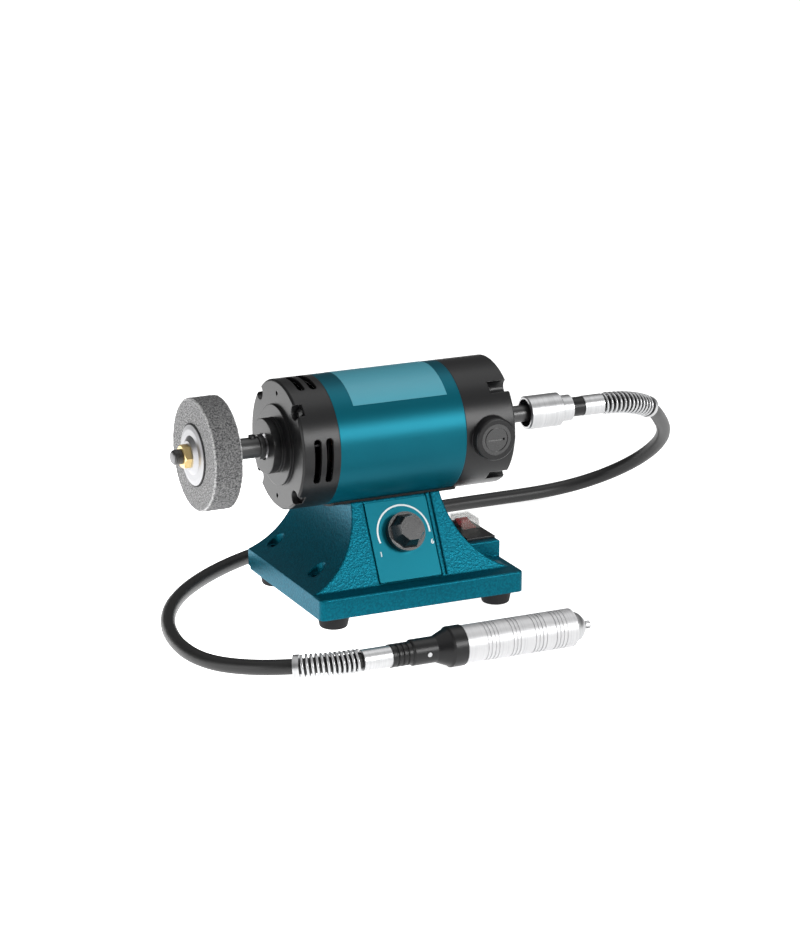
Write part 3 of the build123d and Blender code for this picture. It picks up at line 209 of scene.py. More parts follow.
def facing(point, axis):
    """A frame at a point whose Z is the axis."""
    return Matrix.Translation(point) @ Vector(axis).to_track_quat("Z", "Y").to_matrix().to_4x4()


def cross_screw(bm, place, head_radius, head_height, shank_radius, shank_length):
    """A pan-head screw with a cross recess, its seat at the frame's origin and its head along Z."""
    top = bmesh.ops.create_grid(bm, x_segments=3, y_segments=3, size=head_radius * 0.5)
    new = top["verts"]
    bmesh.ops.translate(bm, verts=new, vec=(0, 0, head_height))
    slot_half = head_radius * 0.13
    arm = head_radius * 0.5
    for v in new:
        v.co.x = math.copysign(slot_half if abs(v.co.x) < arm * 0.9 else arm, v.co.x)
        v.co.y = math.copysign(slot_half if abs(v.co.y) < arm * 0.9 else arm, v.co.y)
    faces = list({f for v in new for f in v.link_faces})
    cross = [f for f in faces
             if min(abs(f.calc_center_median().x), abs(f.calc_center_median().y)) < slot_half]
    rim = [e for e in {e for f in faces for e in f.edges} if e.is_boundary]
    skirt = bmesh.ops.extrude_edge_only(bm, edges=rim)
    ring = [g for g in skirt["geom"] if isinstance(g, bmesh.types.BMVert)]
    for v in ring:
        v.co = v.co.xy.normalized().to_3d() * head_radius + Vector((0, 0, head_height * 0.45))
    new = new + ring
    for radius, height in ((head_radius, 0), (shank_radius, 0), (shank_radius, -shank_length),
                           (0, -shank_length)):
        rim = [e for e in {e for v in ring for e in v.link_edges} if e.is_boundary]
        skirt = bmesh.ops.extrude_edge_only(bm, edges=rim)
        ring = [g for g in skirt["geom"] if isinstance(g, bmesh.types.BMVert)]
        for v in ring:
            v.co = v.co.xy.normalized().to_3d() * radius + Vector((0, 0, height))
        new = new + ring
    sunk = bmesh.ops.extrude_face_region(bm, geom=cross)
    low = [g for g in sunk["geom"] if isinstance(g, bmesh.types.BMVert)]
    bmesh.ops.translate(bm, verts=low, vec=(0, 0, -head_height * 0.5))
    bmesh.ops.delete(bm, geom=cross, context="FACES_ONLY")
    bmesh.ops.transform(bm, matrix=place, verts=new + low)


bm = bmesh.new()
low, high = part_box("cover_screws")
cover_head_radius = 0.0032
cover_head = 0.0018
cover_shank = 0.0015
for x in (low.x + cover_head_radius, high.x - cover_head_radius):
    for y in (low.y + cover_head_radius, high.y - cover_head_radius):
        cross_screw(bm, facing((x, y, low.z + cover_head), (0, 0, -1)), cover_head_radius, cover_head,
                    cover_shank, high.z - low.z - cover_head)
piece("cover_screw_set", bm, steel, "stand", "steel", "cover_screws")

# Front panel: a flat plate set in the leaning front, with the dial's scale printed on it.
# Sheet metal in smooth teal enamel, screen-printed in white.
peel_mm = 1.6
cloud_mm = 40
panel_edge_mm = 0.6


def smooth_enamel(name, dark, light):
    """Sprayed gloss enamel with metal flake: soft clouds of shade and a faint orange peel."""
    made, at = start(name)
    clouds = add(made, "ShaderNodeTexNoise", {"Vector": at, "Scale": 1000 / cloud_mm, "Detail": 2.0})
    tint = add(made, "ShaderNodeMixRGB", {"Fac": clouds.outputs["Fac"], "Color1": linear(dark),
                                          "Color2": linear(light)})
    peel = add(made, "ShaderNodeTexNoise", {"Vector": at, "Scale": 1000 / peel_mm, "Detail": 1.0})
    edges = add(made, "ShaderNodeBevel", {"Radius": panel_edge_mm / 1000}, samples=6)
    relief = add(made, "ShaderNodeBump", {"Height": peel.outputs["Fac"], "Strength": 0.06,
                                          "Distance": 0.0002, "Normal": edges.outputs["Normal"]})
    return close(made, {"Base Color": tint.outputs["Color"], "Metallic": 0.5, "Roughness": 0.36,
                        "Specular IOR Level": 0.5, "Specular Tint": linear("90D2E2"),
                        "Normal": relief.outputs["Normal"]})


dress(smooth_enamel("panel_enamel", "005766", "005F6E"), "front_panel")
dress(smooth_enamel("shell_enamel", "004F5E", "005665"), "motor_shell")

ink_mm = 0.5
made, at = start("screen_print_ink")
film = add(made, "ShaderNodeTexNoise", {"Vector": at, "Scale": 1000 / ink_mm, "Detail": 2.0})
tint = add(made, "ShaderNodeMixRGB", {"Fac": film.outputs["Fac"], "Color1": linear("E4E8E8"),
                                      "Color2": linear("F6F8F8")})
ink = close(made, {"Base Color": tint.outputs["Color"], "Roughness": 0.5, "IOR": 1.5})

knob_axis = -Vector(joints["knob_turn"]["axis"])
knob_place = Vector(joints["knob_turn"]["pos_m"])
panel_out = 0.00042
print_height = 0.00008
dial = facing(knob_place + knob_axis * panel_out, knob_axis)
arc_radius = 0.0188
arc_width = 0.0012
arc_right = math.radians(-5)
arc_left = math.radians(195)
bm = bmesh.new()
band = [bm.verts.new((arc_radius + side * arc_width / 2, 0, up)) for side, up in
        ((-1, 0), (1, 0), (1, print_height), (-1, print_height))]
band_face = bm.faces.new(band)
bmesh.ops.rotate(bm, verts=bm.verts, cent=(0, 0, 0), matrix=Matrix.Rotation(arc_right, 3, "Z"))
bmesh.ops.spin(bm, geom=[band_face], cent=(0, 0, 0), axis=(0, 0, 1), angle=arc_left - arc_right, steps=64)
figure_size = 0.0046
figure_weight = 0.0001
figure_out = 0.0192
first_drop = -0.0125
last_drop = -0.0085
for figure, spot in (("1", (-figure_out, first_drop)), ("6", (figure_out, last_drop))):
    words = bpy.data.curves.new("figure", "FONT")
    words.body = figure
    words.size = figure_size
    words.align_x = "CENTER"
    words.align_y = "CENTER"
    words.extrude = print_height / 2
    words.offset = figure_weight
    holder = bpy.data.objects.new("figure", words)
    flat = bpy.data.meshes.new_from_object(holder)
    flat.transform(Matrix.Translation((*spot, print_height / 2)))
    bm.from_mesh(flat)
    bpy.data.objects.remove(holder)
    bpy.data.curves.remove(words)
    bpy.data.meshes.remove(flat)
bmesh.ops.transform(bm, matrix=dial, verts=bm.verts)
piece("dial_print", bm, ink, "stand", "shell_paint")

# Speed knob, potentiometer and board: the knob is pushed on the potentiometer's shaft.
# The knob is a polished black phenolic moulding with eight facets.
made, at = start("polished_phenolic")
swirl_mm = 9
swirl = add(made, "ShaderNodeTexNoise", {"Vector": at, "Scale": 1000 / swirl_mm, "Detail": 3.0})
rough = add(made, "ShaderNodeMapRange", {"Value": swirl.outputs["Fac"], "To Min": 0.2, "To Max": 0.32})
phenolic = close(made, {"Base Color": linear("101011"), "Roughness": rough.outputs["Result"], "IOR": 1.58,
                        "Coat Weight": 0.4, "Coat Roughness": 0.06})
dress(phenolic, "speed_knob", "brush_caps")

made, at = start("lacquered_laminate")
weave_mm = 0.8
weave = add(made, "ShaderNodeTexBrick", {"Vector": at, "Scale": 1000 / weave_mm, "Color1": linear("1C6B33"),
                                         "Color2": linear("185C2C"), "Mortar": linear("124A22")})
laminate = close(made, {"Base Color": weave.outputs["Color"], "Roughness": 0.35, "IOR": 1.5})
dress(laminate, "speed_board")

# Rocker switch: a snap-in housing with its bezel, a red rocker and a clear splash cover.
# Moulded black nylon, red polycarbonate and thin clear soft vinyl.
spark_mm = 0.5
mould_edge_mm = 0.9
made, at = start("moulded_black_nylon")
spark = add(made, "ShaderNodeTexNoise", {"Vector": at, "Scale": 1000 / spark_mm, "Detail": 2.0})
tint = add(made, "ShaderNodeMixRGB", {"Fac": spark.outputs["Fac"], "Color1": linear("111112"),
                                      "Color2": linear("1C1C1D")})
edges = add(made, "ShaderNodeBevel", {"Radius": mould_edge_mm / 1000}, samples=6)
relief = add(made, "ShaderNodeBump", {"Height": spark.outputs["Fac"], "Strength": 0.12, "Distance": 0.0002,
                                      "Normal": edges.outputs["Normal"]})
nylon = close(made, {"Base Color": tint.outputs["Color"], "Roughness": 0.32, "IOR": 1.53,
                     "Specular IOR Level": 0.28, "Normal": relief.outputs["Normal"]})
dress(nylon, "left_end_cap", "right_end_cap", "brush_holders", "switch_housing", "potentiometer",
      "handpiece_connector", "handpiece_tail", "sheath_collar", "cooling_fan")

made, at = start("red_polycarbonate")
flow_mm = 7
flow = add(made, "ShaderNodeTexNoise", {"Vector": at, "Scale": 1000 / flow_mm, "Detail": 2.0})
tint = add(made, "ShaderNodeMixRGB", {"Fac": flow.outputs["Fac"], "Color1": linear("D8141E"),
                                      "Color2": linear("EC2A30")})
red = close(made, {"Base Color": tint.outputs["Color"], "Roughness": 0.2, "IOR": 1.58})
dress(red, "switch_rocker")

made, at = start("clear_vinyl")
ripple_mm = 5
ripple = add(made, "ShaderNodeTexNoise", {"Vector": at, "Scale": 1000 / ripple_mm, "Detail": 2.0})
relief = add(made, "ShaderNodeBump", {"Height": ripple.outputs["Fac"], "Strength": 0.15,
                                      "Distance": 0.0004})
vinyl = close(made, {"Base Color": linear("A0A49E"), "Roughness": 0.15, "IOR": 1.45,
                     "Alpha": 0.3, "Normal": relief.outputs["Normal"]})
dress(vinyl, "switch_cover")

brass_line_mm = 0.6
brass = turned_lines("machined_brass", "EAC880", "FCE6AE", brass_line_mm, 0.42, 0)
dress(brass, "switch_blades", "spindle_nut")

# Motor: shell with stator, coils, armature, commutator, brushes and fan behind the caps' vents.
# Stacked sheet, enamelled copper wire and pressed graphite, seen only through the slots.
sheet_mm = 0.7
made, at = start("stacked_lamination")
sheets = add(made, "ShaderNodeTexWave", {"Vector": at, "Scale": 1000 / sheet_mm / 20, "Distortion": 0.2},
             bands_direction="X")
tint = add(made, "ShaderNodeMixRGB", {"Fac": sheets.outputs["Fac"], "Color1": linear("55585C"),
                                      "Color2": linear("7E8185")})
lamination = close(made, {"Base Color": tint.outputs["Color"], "Metallic": 1.0, "Roughness": 0.45})
dress(lamination, "stator_core", "armature_core")

wire_mm = 0.9
made, at = start("enamelled_copper_wire")
wires = add(made, "ShaderNodeTexWave", {"Vector": at, "Scale": 1000 / wire_mm / 20, "Distortion": 0.8},
            bands_direction="Y")
tint = add(made, "ShaderNodeMixRGB", {"Fac": wires.outputs["Fac"], "Color1": linear("7A3A1C"),
                                      "Color2": linear("B8642F")})
relief = add(made, "ShaderNodeBump", {"Height": wires.outputs["Fac"], "Strength": 0.6, "Distance": 0.0003})
copper = close(made, {"Base Color": tint.outputs["Color"], "Metallic": 1.0, "Roughness": 0.34,
                      "Normal": relief.outputs["Normal"]})
dress(copper, "field_coils", "armature_windings", "commutator")

made, at = start("pressed_graphite")
pores_mm = 0.4
pores = add(made, "ShaderNodeTexNoise", {"Vector": at, "Scale": 1000 / pores_mm, "Detail": 3.0})
tint = add(made, "ShaderNodeMixRGB", {"Fac": pores.outputs["Fac"], "Color1": linear("151516"),
                                      "Color2": linear("3A3A3C")})
graphite = close(made, {"Base Color": tint.outputs["Color"], "Roughness": 0.7})
dress(graphite, "carbon_brushes")

# Label patch: a bare foil without print, a shade lighter than the shell that it is stuck to.
# Satin polyester film, rolled on over the top of the shell.
shell_low, shell_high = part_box("motor_shell")
axis_z = (shell_low.z + shell_high.z) / 2
shell_radius = (shell_high.z - shell_low.z) / 2
patch_from = -0.038
patch_to = 0.030
patch_front = 47
patch_back = -35
film_gap = 0.00012
made, at = start("satin_label_film")
weave = add(made, "ShaderNodeTexNoise", {"Vector": at, "Scale": 1000 / cloud_mm, "Detail": 2.0})
tint = add(made, "ShaderNodeMixRGB", {"Fac": weave.outputs["Fac"], "Color1": linear("3A8FA1"),
                                      "Color2": linear("4398AA")})
label_film = close(made, {"Base Color": tint.outputs["Color"], "Roughness": 0.4, "IOR": 1.5})
bm = bmesh.new()
ends = [bm.verts.new((x, 0, axis_z + shell_radius + film_gap)) for x in (patch_from, patch_to)]
edge = bm.edges.new(ends)
centre = (0, 0, axis_z)
bmesh.ops.rotate(bm, verts=ends, cent=centre, matrix=Matrix.Rotation(math.radians(patch_back), 3, "X"))
bmesh.ops.spin(bm, geom=[edge], cent=centre, axis=(1, 0, 0), angle=math.radians(patch_front - patch_back),
               steps=28)
piece("label_patch", bm, label_film, "stand", "shell_paint")

# Cap screws: four long pan-head screws through each end cap into the stator.
# Blackened steel with cross recesses, sunk in notches of the caps.
low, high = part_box("cap_screws")
screw_head_radius = 0.0031
screw_head = 0.0026
screw_circle = 0.0388
screw_shank = 0.002
screw_length = 0.03
bm = bmesh.new()
for seat, out in ((low.x + screw_head, -1), (high.x - screw_head, 1)):
    for quarter in range(4):
        turn = math.radians(45 + 90 * quarter)
        spot = (seat, screw_circle * math.cos(turn), axis_z + screw_circle * math.sin(turn))
        cross_screw(bm, facing(spot, (out, 0, 0)), screw_head_radius, screw_head, screw_shank, screw_length)
piece("cap_screw_set", bm, blackened, "stand", "black_steel", "cap_screws")

# Left spindle: adapter with its grub screw, two flanges with a paper washer, and the nut.
# Blackened steel with a threaded end; the outer flange is bright pressed steel.
bright = turned_lines("bright_plated_steel", "A8A9AA", "D0D0D1", 1.0, 0.36, 0)
dress(bright, "coupling_sleeve", "hose_ferrules", "hose_end_rings", "detent_pin")
pressed = turned_lines("pressed_steel", "8E8E90", "A6A6A8", 1.0, 0.42, 0)
dress(pressed, "outer_flange")

made, at = start("black_card")
fibre_mm = 0.7
fibre = add(made, "ShaderNodeTexNoise", {"Vector": at, "Scale": 1000 / fibre_mm, "Detail": 4.0})
tint = add(made, "ShaderNodeMixRGB", {"Fac": fibre.outputs["Fac"], "Color1": linear("131314"),
                                      "Color2": linear("2C2C2E")})
card = close(made, {"Base Color": tint.outputs["Color"], "Roughness": 0.8})
dress(card, "paper_washer")

nut_low, nut_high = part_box("spindle_nut")
stud_low, stud_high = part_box("spindle_adapter")
stud_radius = 0.0049
thread_pitch = 0.00125
thread_rise = 0.00035
thread_sink = 0.0001
thread_turns = int((nut_low.x - stud_low.x) / thread_pitch - 0.5)
turn_steps = 32
bm = bmesh.new()
ridge = [bm.verts.new((nut_low.x - thread_turns * thread_pitch + share * thread_pitch, 0,
                       axis_z + stud_radius + rise * thread_rise - thread_sink))
         for share, rise in ((-0.5, 0), (-0.1, 1), (0.1, 1), (0.5, 0))]
ridge_edges = [bm.edges.new(pair) for pair in zip(ridge, ridge[1:])]
bmesh.ops.spin(bm, geom=ridge_edges, cent=(0, 0, axis_z), axis=(1, 0, 0),
               dvec=(thread_pitch / turn_steps, 0, 0), angle=math.tau * thread_turns,
               steps=turn_steps * thread_turns)
piece("stud_thread", bm, blackened, "rotor", "black_steel")

cut_steel = turned_lines("cut_steel", "6A6A6C", "808082", 0.6, 0.4, 0)
tip_radius = 0.0044
tip_dome = 0.0009
bm = bmesh.new()
rim = [bm.verts.new((stud_low.x - out * tip_dome, 0, axis_z + share * tip_radius))
       for share, out in ((1, 0), (0.85, 0.7), (0.5, 0.95), (0, 1))]
rim_edges = [bm.edges.new(pair) for pair in zip(rim, rim[1:])]
bmesh.ops.spin(bm, geom=rim_edges, cent=(0, 0, axis_z), axis=(1, 0, 0), angle=math.tau, steps=24,
               use_merge=True)
piece("stud_tip", bm, cut_steel, "rotor", "steel")

grub_low, grub_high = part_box("grub_screw")
grub_radius = (grub_high.x - grub_low.x) / 2
grub_centre = (grub_low + grub_high) / 2
bm = bmesh.new()
top = bmesh.ops.create_circle(bm, segments=24, radius=grub_radius, cap_ends=True)
body = bmesh.ops.extrude_face_region(bm, geom=list({f for v in top["verts"] for f in v.link_faces}))
raised = [g for g in body["geom"] if isinstance(g, bmesh.types.BMVert)]
bmesh.ops.translate(bm, verts=raised, vec=(0, 0, grub_high.z - grub_low.z))
lid = [f for f in bm.faces if f.normal.z > 0.9 and f.calc_center_median().z > 0.001]
bmesh.ops.inset_region(bm, faces=lid, thickness=grub_radius * 0.45)
bmesh.ops.translate(bm, verts=list({v for f in lid for v in f.verts}), vec=(0, 0, -grub_radius))
bmesh.ops.translate(bm, verts=bm.verts, vec=(grub_centre.x, grub_centre.y, grub_low.z))
piece("grub_socket", bm, blackened, "rotor", "black_steel", "grub_screw")

# Wheel: a grey non-woven polishing wheel, gritty all over, clamped between the flanges.
# Nylon fibre and abrasive grains pressed to a disc; its rim is painted darker as shade and a light line
# along its side edges is a painted highlight.
wheel_low, wheel_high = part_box("wheel")
wheel_radius = (wheel_high.z - wheel_low.z) / 2
wheel_bore = 0.0055
wheel_edge = 0.0009
grit_mm = 1.1
lump_mm = 0.8
lump_height = 0.0007
step = 0.001
made, at = start("bonded_grit")
grit = add(made, "ShaderNodeTexNoise", {"Vector": at, "Scale": 1000 / grit_mm, "Detail": 4.0,
                                        "Roughness": 0.65})
spread = add(made, "ShaderNodeMapRange", {"Value": grit.outputs["Fac"], "From Min": 0.38, "From Max": 0.62})
tint = add(made, "ShaderNodeMixRGB", {"Fac": spread.outputs["Result"], "Color1": linear("48484A"),
                                      "Color2": linear("A6A6A6")})
wheel_middle = ((wheel_low.x + wheel_high.x) / 2, 0, axis_z)
spot = add(made, "ShaderNodeVectorMath", {0: at, 1: wheel_middle}, operation="SUBTRACT")
flat = add(made, "ShaderNodeVectorMath", {0: spot.outputs["Vector"], 1: (0, 1, 1)}, operation="MULTIPLY")
out = add(made, "ShaderNodeVectorMath", {0: flat.outputs["Vector"]}, operation="LENGTH")
across = add(made, "ShaderNodeVectorMath", {0: spot.outputs["Vector"], 1: (1, 0, 0)}, operation="MULTIPLY")
side = add(made, "ShaderNodeVectorMath", {0: across.outputs["Vector"]}, operation="LENGTH")
half_width = (wheel_high.x - wheel_low.x) / 2
on_rim = add(made, "ShaderNodeMapRange", {"Value": out.outputs["Value"],
                                          "From Min": wheel_radius - 2 * wheel_edge,
                                          "From Max": wheel_radius - wheel_edge})
edge_highlight_mask = add(made, "ShaderNodeMapRange", {"Value": side.outputs["Value"],
                                           "From Min": half_width - 1.5 * wheel_edge,
                                           "From Max": half_width - 0.7 * wheel_edge})
# Painted shade: the rim's colour is multiplied by grey to darken it.
painted_rim_shade = add(made, "ShaderNodeMixRGB", {"Fac": on_rim.outputs["Result"], "Color1": tint.outputs["Color"],
                                          "Color2": linear("C4C4C4")}, blend_type="MULTIPLY")
# Painted highlight: a broken light line along the wheel's side edges.
painted_edge_highlight = add(made, "ShaderNodeMixRGB", {"Fac": spread.outputs["Result"], "Color1": linear("6E6E6F"),
                                           "Color2": linear("C6C6C6")})
painted_shade_or_highlight = add(made, "ShaderNodeMixRGB", {"Fac": edge_highlight_mask.outputs["Result"],
                                             "Color1": painted_rim_shade.outputs["Color"],
                                             "Color2": painted_edge_highlight.outputs["Color"]})
tint = add(made, "ShaderNodeMixRGB", {"Fac": on_rim.outputs["Result"], "Color1": tint.outputs["Color"],
                                      "Color2": painted_shade_or_highlight.outputs["Color"]})
relief = add(made, "ShaderNodeBump", {"Height": grit.outputs["Fac"], "Strength": 0.6, "Distance": 0.0005})
bonded_grit = close(made, {"Base Color": tint.outputs["Color"], "Roughness": 0.95, "IOR": 1.45,
                           "Normal": relief.outputs["Normal"]})
outline = [(wheel_high.x, wheel_bore), (wheel_high.x, wheel_radius - wheel_edge),
           (wheel_high.x - wheel_edge, wheel_radius), (wheel_low.x + wheel_edge, wheel_radius),
           (wheel_low.x, wheel_radius - wheel_edge), (wheel_low.x, wheel_bore)]
bm = bmesh.new()
corners = [bm.verts.new((x, 0, axis_z + r)) for x, r in outline]
runs = [bm.edges.new(pair) for pair in zip(corners, corners[1:])]
for run in sorted(runs, key=lambda e: e.calc_length()):
    cuts = max(0, round(run.calc_length() / step) - 1)
    bmesh.ops.subdivide_edges(bm, edges=[run], cuts=cuts)
bmesh.ops.spin(bm, geom=list(bm.verts) + list(bm.edges), cent=(0, 0, axis_z), axis=(1, 0, 0),
               angle=math.tau, steps=round(math.tau * wheel_radius / step), use_merge=True)
wheel = piece("polishing_wheel", bm, bonded_grit, "rotor", "wheel", "wheel")
lumps = bpy.data.textures.new("grit_lumps", "CLOUDS")
lumps.noise_scale = lump_mm / 1000
rough_skin = wheel.modifiers.new("grit", "DISPLACE")
rough_skin.texture = lumps
rough_skin.texture_coords = "LOCAL"
rough_skin.strength = lump_height
rough_skin.mid_level = 0.7

# Flexible shaft: a black rubber hose over a wound core, with a guard spring at each end.
# The hose leaves the coupling, goes behind the machine and comes back to the handpiece.
# Its route is in millimetres.
hose_route = [
    (151, 0, 113.7), (174, 0, 113.7), (196.6, 6.5, 108.76), (215.5, 18.3, 99.79), (230.5, 34.2, 87.71),
    (246.5, 53.3, 73.19), (256, 71.6, 59.28), (258.5, 90, 45.3), (253.9, 108.7, 31.1), (240.9, 125.3, 18.5),
    (220.7, 137, 9.6), (193.5, 142.4, 5.5), (157, 143.5, 5), (116, 143, 5), (75, 138.8, 5), (34, 130.5, 5),
    (-7, 117.5, 5), (-47.5, 101.5, 5), (-85, 81.5, 5), (-118, 55.5, 5), (-143, 27, 5), (-160.5, -5, 5),
    (-169.5, -38, 5), (-171, -68, 5), (-165, -91, 5.2), (-154, -109, 6.7), (-141, -126, 9.6),
    (-122.5, -140, 12.4), (-98, -148, 13.2), (-73, -148, 13.2)]
hose_radius = 0.005
hose_grain_mm = 1.2
made, at = start("extruded_rubber_hose")
grain = add(made, "ShaderNodeTexNoise", {"Vector": at, "Scale": 1000 / hose_grain_mm, "Detail": 2.0})
tint = add(made, "ShaderNodeMixRGB", {"Fac": grain.outputs["Fac"], "Color1": linear("0D0D0E"),
                                      "Color2": linear("191919")})
relief = add(made, "ShaderNodeBump", {"Height": grain.outputs["Fac"], "Strength": 0.12, "Distance": 0.0002})
hose_rubber = close(made, {"Base Color": tint.outputs["Color"], "Roughness": 0.42, "IOR": 1.52,
                           "Specular IOR Level": 0.4, "Normal": relief.outputs["Normal"]})


def round_line(name, points, radius, made):
    """A round wire or hose along control points, as a curve."""
    line = bpy.data.curves.new(name, "CURVE")
    line.dimensions = "3D"
    line.resolution_u = 12
    line.bevel_depth = radius
    line.bevel_resolution = 5
    line.use_fill_caps = True
    spline = line.splines.new("NURBS")
    spline.points.add(len(points) - 1)
    for point, spot in zip(spline.points, points):
        point.co = (*spot, 1)
    spline.order_u = 3
    spline.use_endpoint_u = True
    line.materials.append(made)
    return bpy.data.objects.new(name, line)


hose = round_line("drive_hose", [Vector(p) / 1000 for p in hose_route], hose_radius, hose_rubber)
bpy.context.scene.collection.objects.link(hose)
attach(hose, "stand")
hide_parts("flex_hose")
bare = hose.copy()
bare.data = hose.data.copy()
bare.data.bevel_depth = 0
bare.data.resolution_u = 40
line_mesh = bpy.data.meshes.new_from_object(bare)
hose_line = [v.co.copy() for v in line_mesh.vertices]
bpy.data.meshes.remove(line_mesh)
bpy.data.objects.remove(bare)
reach = [0.0]
for a, b in zip(hose_line, hose_line[1:]):
    reach.append(reach[-1] + (b - a).length)


def along_hose(s):
    """The hose's centre and direction at a length from its start."""
    i = min(max(1, sum(1 for r in reach if r < s)), len(reach) - 1)
    share = (s - reach[i - 1]) / (reach[i] - reach[i - 1])
    return hose_line[i - 1].lerp(hose_line[i], share), (hose_line[i] - hose_line[i - 1]).normalized()


spring_radius = 0.0069
wire_radius = 0.00095
coil_steps = 16
spring_start = 0.01425
motor_spring_end = 0.06025
hand_spring_end = 0.05075
for name, first, last, turns in (
        ("motor_end_spring", spring_start, motor_spring_end, 13),
        ("hand_end_spring", reach[-1] - hand_spring_end, reach[-1] - spring_start, 12)):
    coil = []
    side = Vector((0, 0, 1))
    for i in range(turns * coil_steps + 1):
        spot, ahead = along_hose(first + (last - first) * i / (turns * coil_steps))
        side = (side - ahead * side.dot(ahead)).normalized()
        turn = math.tau * i / coil_steps
        coil.append(spot + spring_radius * (side * math.cos(turn) + ahead.cross(side) * math.sin(turn)))
    wire = round_line("wire", coil, wire_radius, bright)
    wire.data.resolution_u = 3
    wire_mesh = bpy.data.meshes.new_from_object(wire)
    bm = bmesh.new()
    bm.from_mesh(wire_mesh)
    bpy.data.objects.remove(wire)
    bpy.data.meshes.remove(wire_mesh)
    piece(name.replace("end", "guard"), bm, bright, "stand", "steel", name)

# Handpiece: a slim turned grip on two bearings with a chuck for small tools.
# Satin aluminium, turned with shallow grip rings, and a black moulded tail.
made, at = start("satin_turned_aluminium")
ring_mm = 1.4
across = add(made, "ShaderNodeSeparateXYZ", {"Vector": at})
rings = add(made, "ShaderNodeTexNoise", {"W": across.outputs["X"], "Scale": 1000 / ring_mm, "Detail": 4.0,
                                         "Roughness": 0.7}, noise_dimensions="1D")
marks = add(made, "ShaderNodeMapRange", {"Value": rings.outputs["Fac"], "From Min": 0.3, "From Max": 0.5})
tint = add(made, "ShaderNodeMixRGB", {"Fac": marks.outputs["Result"], "Color1": linear("B4B4B6"),
                                      "Color2": linear("C6C6C7")})
relief = add(made, "ShaderNodeBump", {"Height": rings.outputs["Fac"], "Strength": 0.02, "Distance": 0.0001})
aluminium = close(made, {"Base Color": tint.outputs["Color"], "Metallic": 0.55, "Roughness": 0.42,
                         "Normal": relief.outputs["Normal"]})
dress(aluminium, "handpiece_body")

# Chuck: the nose of the handpiece, which closes on a small tool's shank.
# Turned steel: a full rounded cone on a stub in the handpiece, with a mouth that is slit in three.
chuck_low, chuck_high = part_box("handpiece_chuck")
body_low, body_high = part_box("handpiece_body")
hand_y = (chuck_low.y + chuck_high.y) / 2
hand_z = (chuck_low.z + chuck_high.z) / 2
cone_gap = 0.0005
cone_back = body_high.x + cone_gap
cone_radius = 0.01
stub_radius = 0.0059
stub_bore = 0.0036
mouth_inset = 0.0008
mouth_depth = 0.0048
mouth_front = chuck_high.x - mouth_inset
mouth_back = chuck_high.x - mouth_depth
mouth_radius = 0.0027
mouth_bore = 0.0016
mouth_chamfer = 0.0006
jaw_gap = math.radians(16)
cone_length = mouth_back - cone_back
outline = [(chuck_low.x, stub_bore), (chuck_low.x, stub_radius), (cone_back, stub_radius)]
outline += [(cone_back + along * cone_length, wide * cone_radius)
            for along, wide in ((0, 1), (0.25, 0.97), (0.5, 0.85), (0.72, 0.66), (0.9, 0.46), (1, 0.34))]
outline += [(mouth_back, mouth_bore), (cone_back, mouth_bore), (cone_back, stub_bore),
            (chuck_low.x, stub_bore)]
bm = bmesh.new()
corners = [bm.verts.new((x, hand_y, hand_z + r)) for x, r in outline]
runs = [bm.edges.new(pair) for pair in zip(corners, corners[1:])]
hand_centre = (0, hand_y, hand_z)
bmesh.ops.spin(bm, geom=corners + runs, cent=hand_centre, axis=(1, 0, 0), angle=math.tau, steps=48,
               use_merge=True)
for jaw in range(3):
    section = [(mouth_back, mouth_bore), (mouth_back, mouth_radius),
               (mouth_front - mouth_chamfer, mouth_radius),
               (mouth_front, mouth_radius - mouth_chamfer), (mouth_front, mouth_bore)]
    jaw_face = bm.faces.new([bm.verts.new((x, hand_y, hand_z + r)) for x, r in section])
    bmesh.ops.rotate(bm, verts=jaw_face.verts, cent=hand_centre,
                     matrix=Matrix.Rotation(math.tau * jaw / 3, 3, "X"))
    bmesh.ops.spin(bm, geom=[jaw_face], cent=hand_centre, axis=(1, 0, 0), angle=math.tau / 3 - jaw_gap,
                   steps=10)
chuck_nose = piece("chuck_nose", bm, bright, "chuck", "steel", "handpiece_chuck")
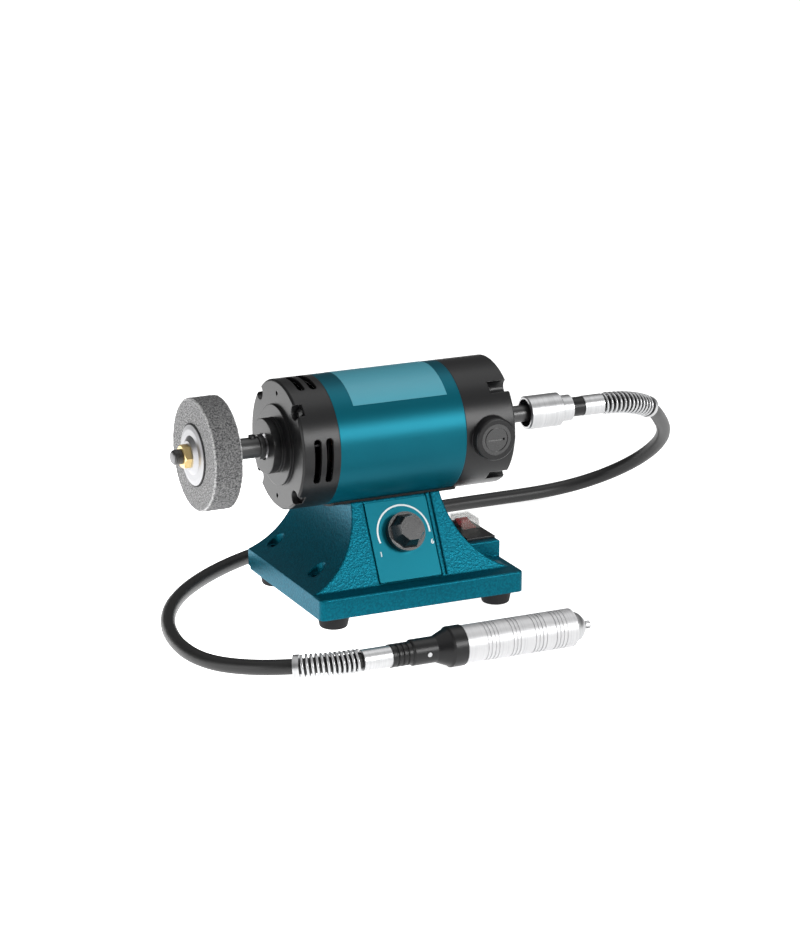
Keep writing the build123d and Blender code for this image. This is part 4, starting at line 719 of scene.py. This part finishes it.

# Floor, light and camera: a white light table, as in a product studio, whose emission is even in front and
# much brighter behind the machine's left, a painted pool of light that the left faces reflect; with a large
# soft light in front on the right, a low one on the left, a weak one above, and a dim room that is lighter
# overhead.
# The table's emission: front_glow everywhere in front, back_glow in a painted pool of light behind the
# machine's left.
front_glow = 0.75
back_glow = 2.3
made, at = start("white_table")
away = add(made, "ShaderNodeVectorMath", {0: at, 1: (-0.32, 0.2, 0)}, operation="DISTANCE")
glow = add(made, "ShaderNodeMapRange", {"Value": away.outputs["Value"], "From Min": 0.25, "From Max": 0.5,
                                        "To Min": back_glow, "To Max": front_glow})
table = close(made, {"Base Color": linear("F4F4F4"), "Roughness": 0.8, "Emission Color": linear("FFFFFF"),
                     "Emission Strength": glow.outputs["Result"]})
bm = bmesh.new()
bmesh.ops.create_grid(bm, x_segments=1, y_segments=1, size=6)
floor_mesh = bpy.data.meshes.new("table_top")
bm.to_mesh(floor_mesh)
bm.free()
floor_mesh.materials.append(table)
floor = bpy.data.objects.new("table_top", floor_mesh)
bpy.context.scene.collection.objects.link(floor)
floor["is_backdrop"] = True

room = bpy.data.worlds.new("white_room")
room.use_nodes = True
room.node_tree.nodes.clear()
look = add(room, "ShaderNodeTexCoord")
height = add(room, "ShaderNodeSeparateXYZ", {"Vector": look.outputs["Generated"]})
fade = add(room, "ShaderNodeMapRange", {"Value": height.outputs["Z"], "From Min": 0.55, "From Max": 0.85,
                                        "To Min": 0.15, "To Max": 0.75})
walls = add(room, "ShaderNodeBackground", {"Color": (1, 1, 1, 1), "Strength": fade.outputs["Result"]})
add(room, "ShaderNodeOutputWorld", {"Surface": walls.outputs["Background"]})
bpy.context.scene.world = room
target = Vector((0, 0, 0.08))
for name, spot, size, energy in (("front", (0.9, -1.8, 0.8), 0.75, 24),
                                 ("side", (-1.8, -0.3, 0.25), 0.9, 10),
                                 ("over", (0.5, 0.1, 1.6), 1.0, 3)):
    lamp = bpy.data.lights.new(name, "AREA")
    lamp.size = size
    lamp.energy = energy
    light = bpy.data.objects.new(name, lamp)
    light.location = spot
    light.rotation_euler = (target - Vector(spot)).to_track_quat("-Z", "Y").to_euler()
    bpy.context.scene.collection.objects.link(light)

lens = bpy.data.cameras.new("camera")
focal_length_mm = 122.4
lens.lens = focal_length_mm
lens.sensor_width = 36
lens.clip_end = 20
camera = bpy.data.objects.new("camera", lens)
camera_place = (-0.8651, -1.8358, 0.6995)
ahead = Vector((0.4125, 0.8643, -0.2877)).normalized()
roll = math.radians(0.28)
turned = ahead.to_track_quat("-Z", "Y").to_matrix() @ Matrix.Rotation(roll, 3, "Z")
camera.matrix_world = Matrix.Translation(camera_place) @ turned.to_4x4()
bpy.context.scene.collection.objects.link(camera)
bpy.context.scene.camera = camera
bpy.context.scene.view_settings.view_transform = "Standard"

low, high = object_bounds()
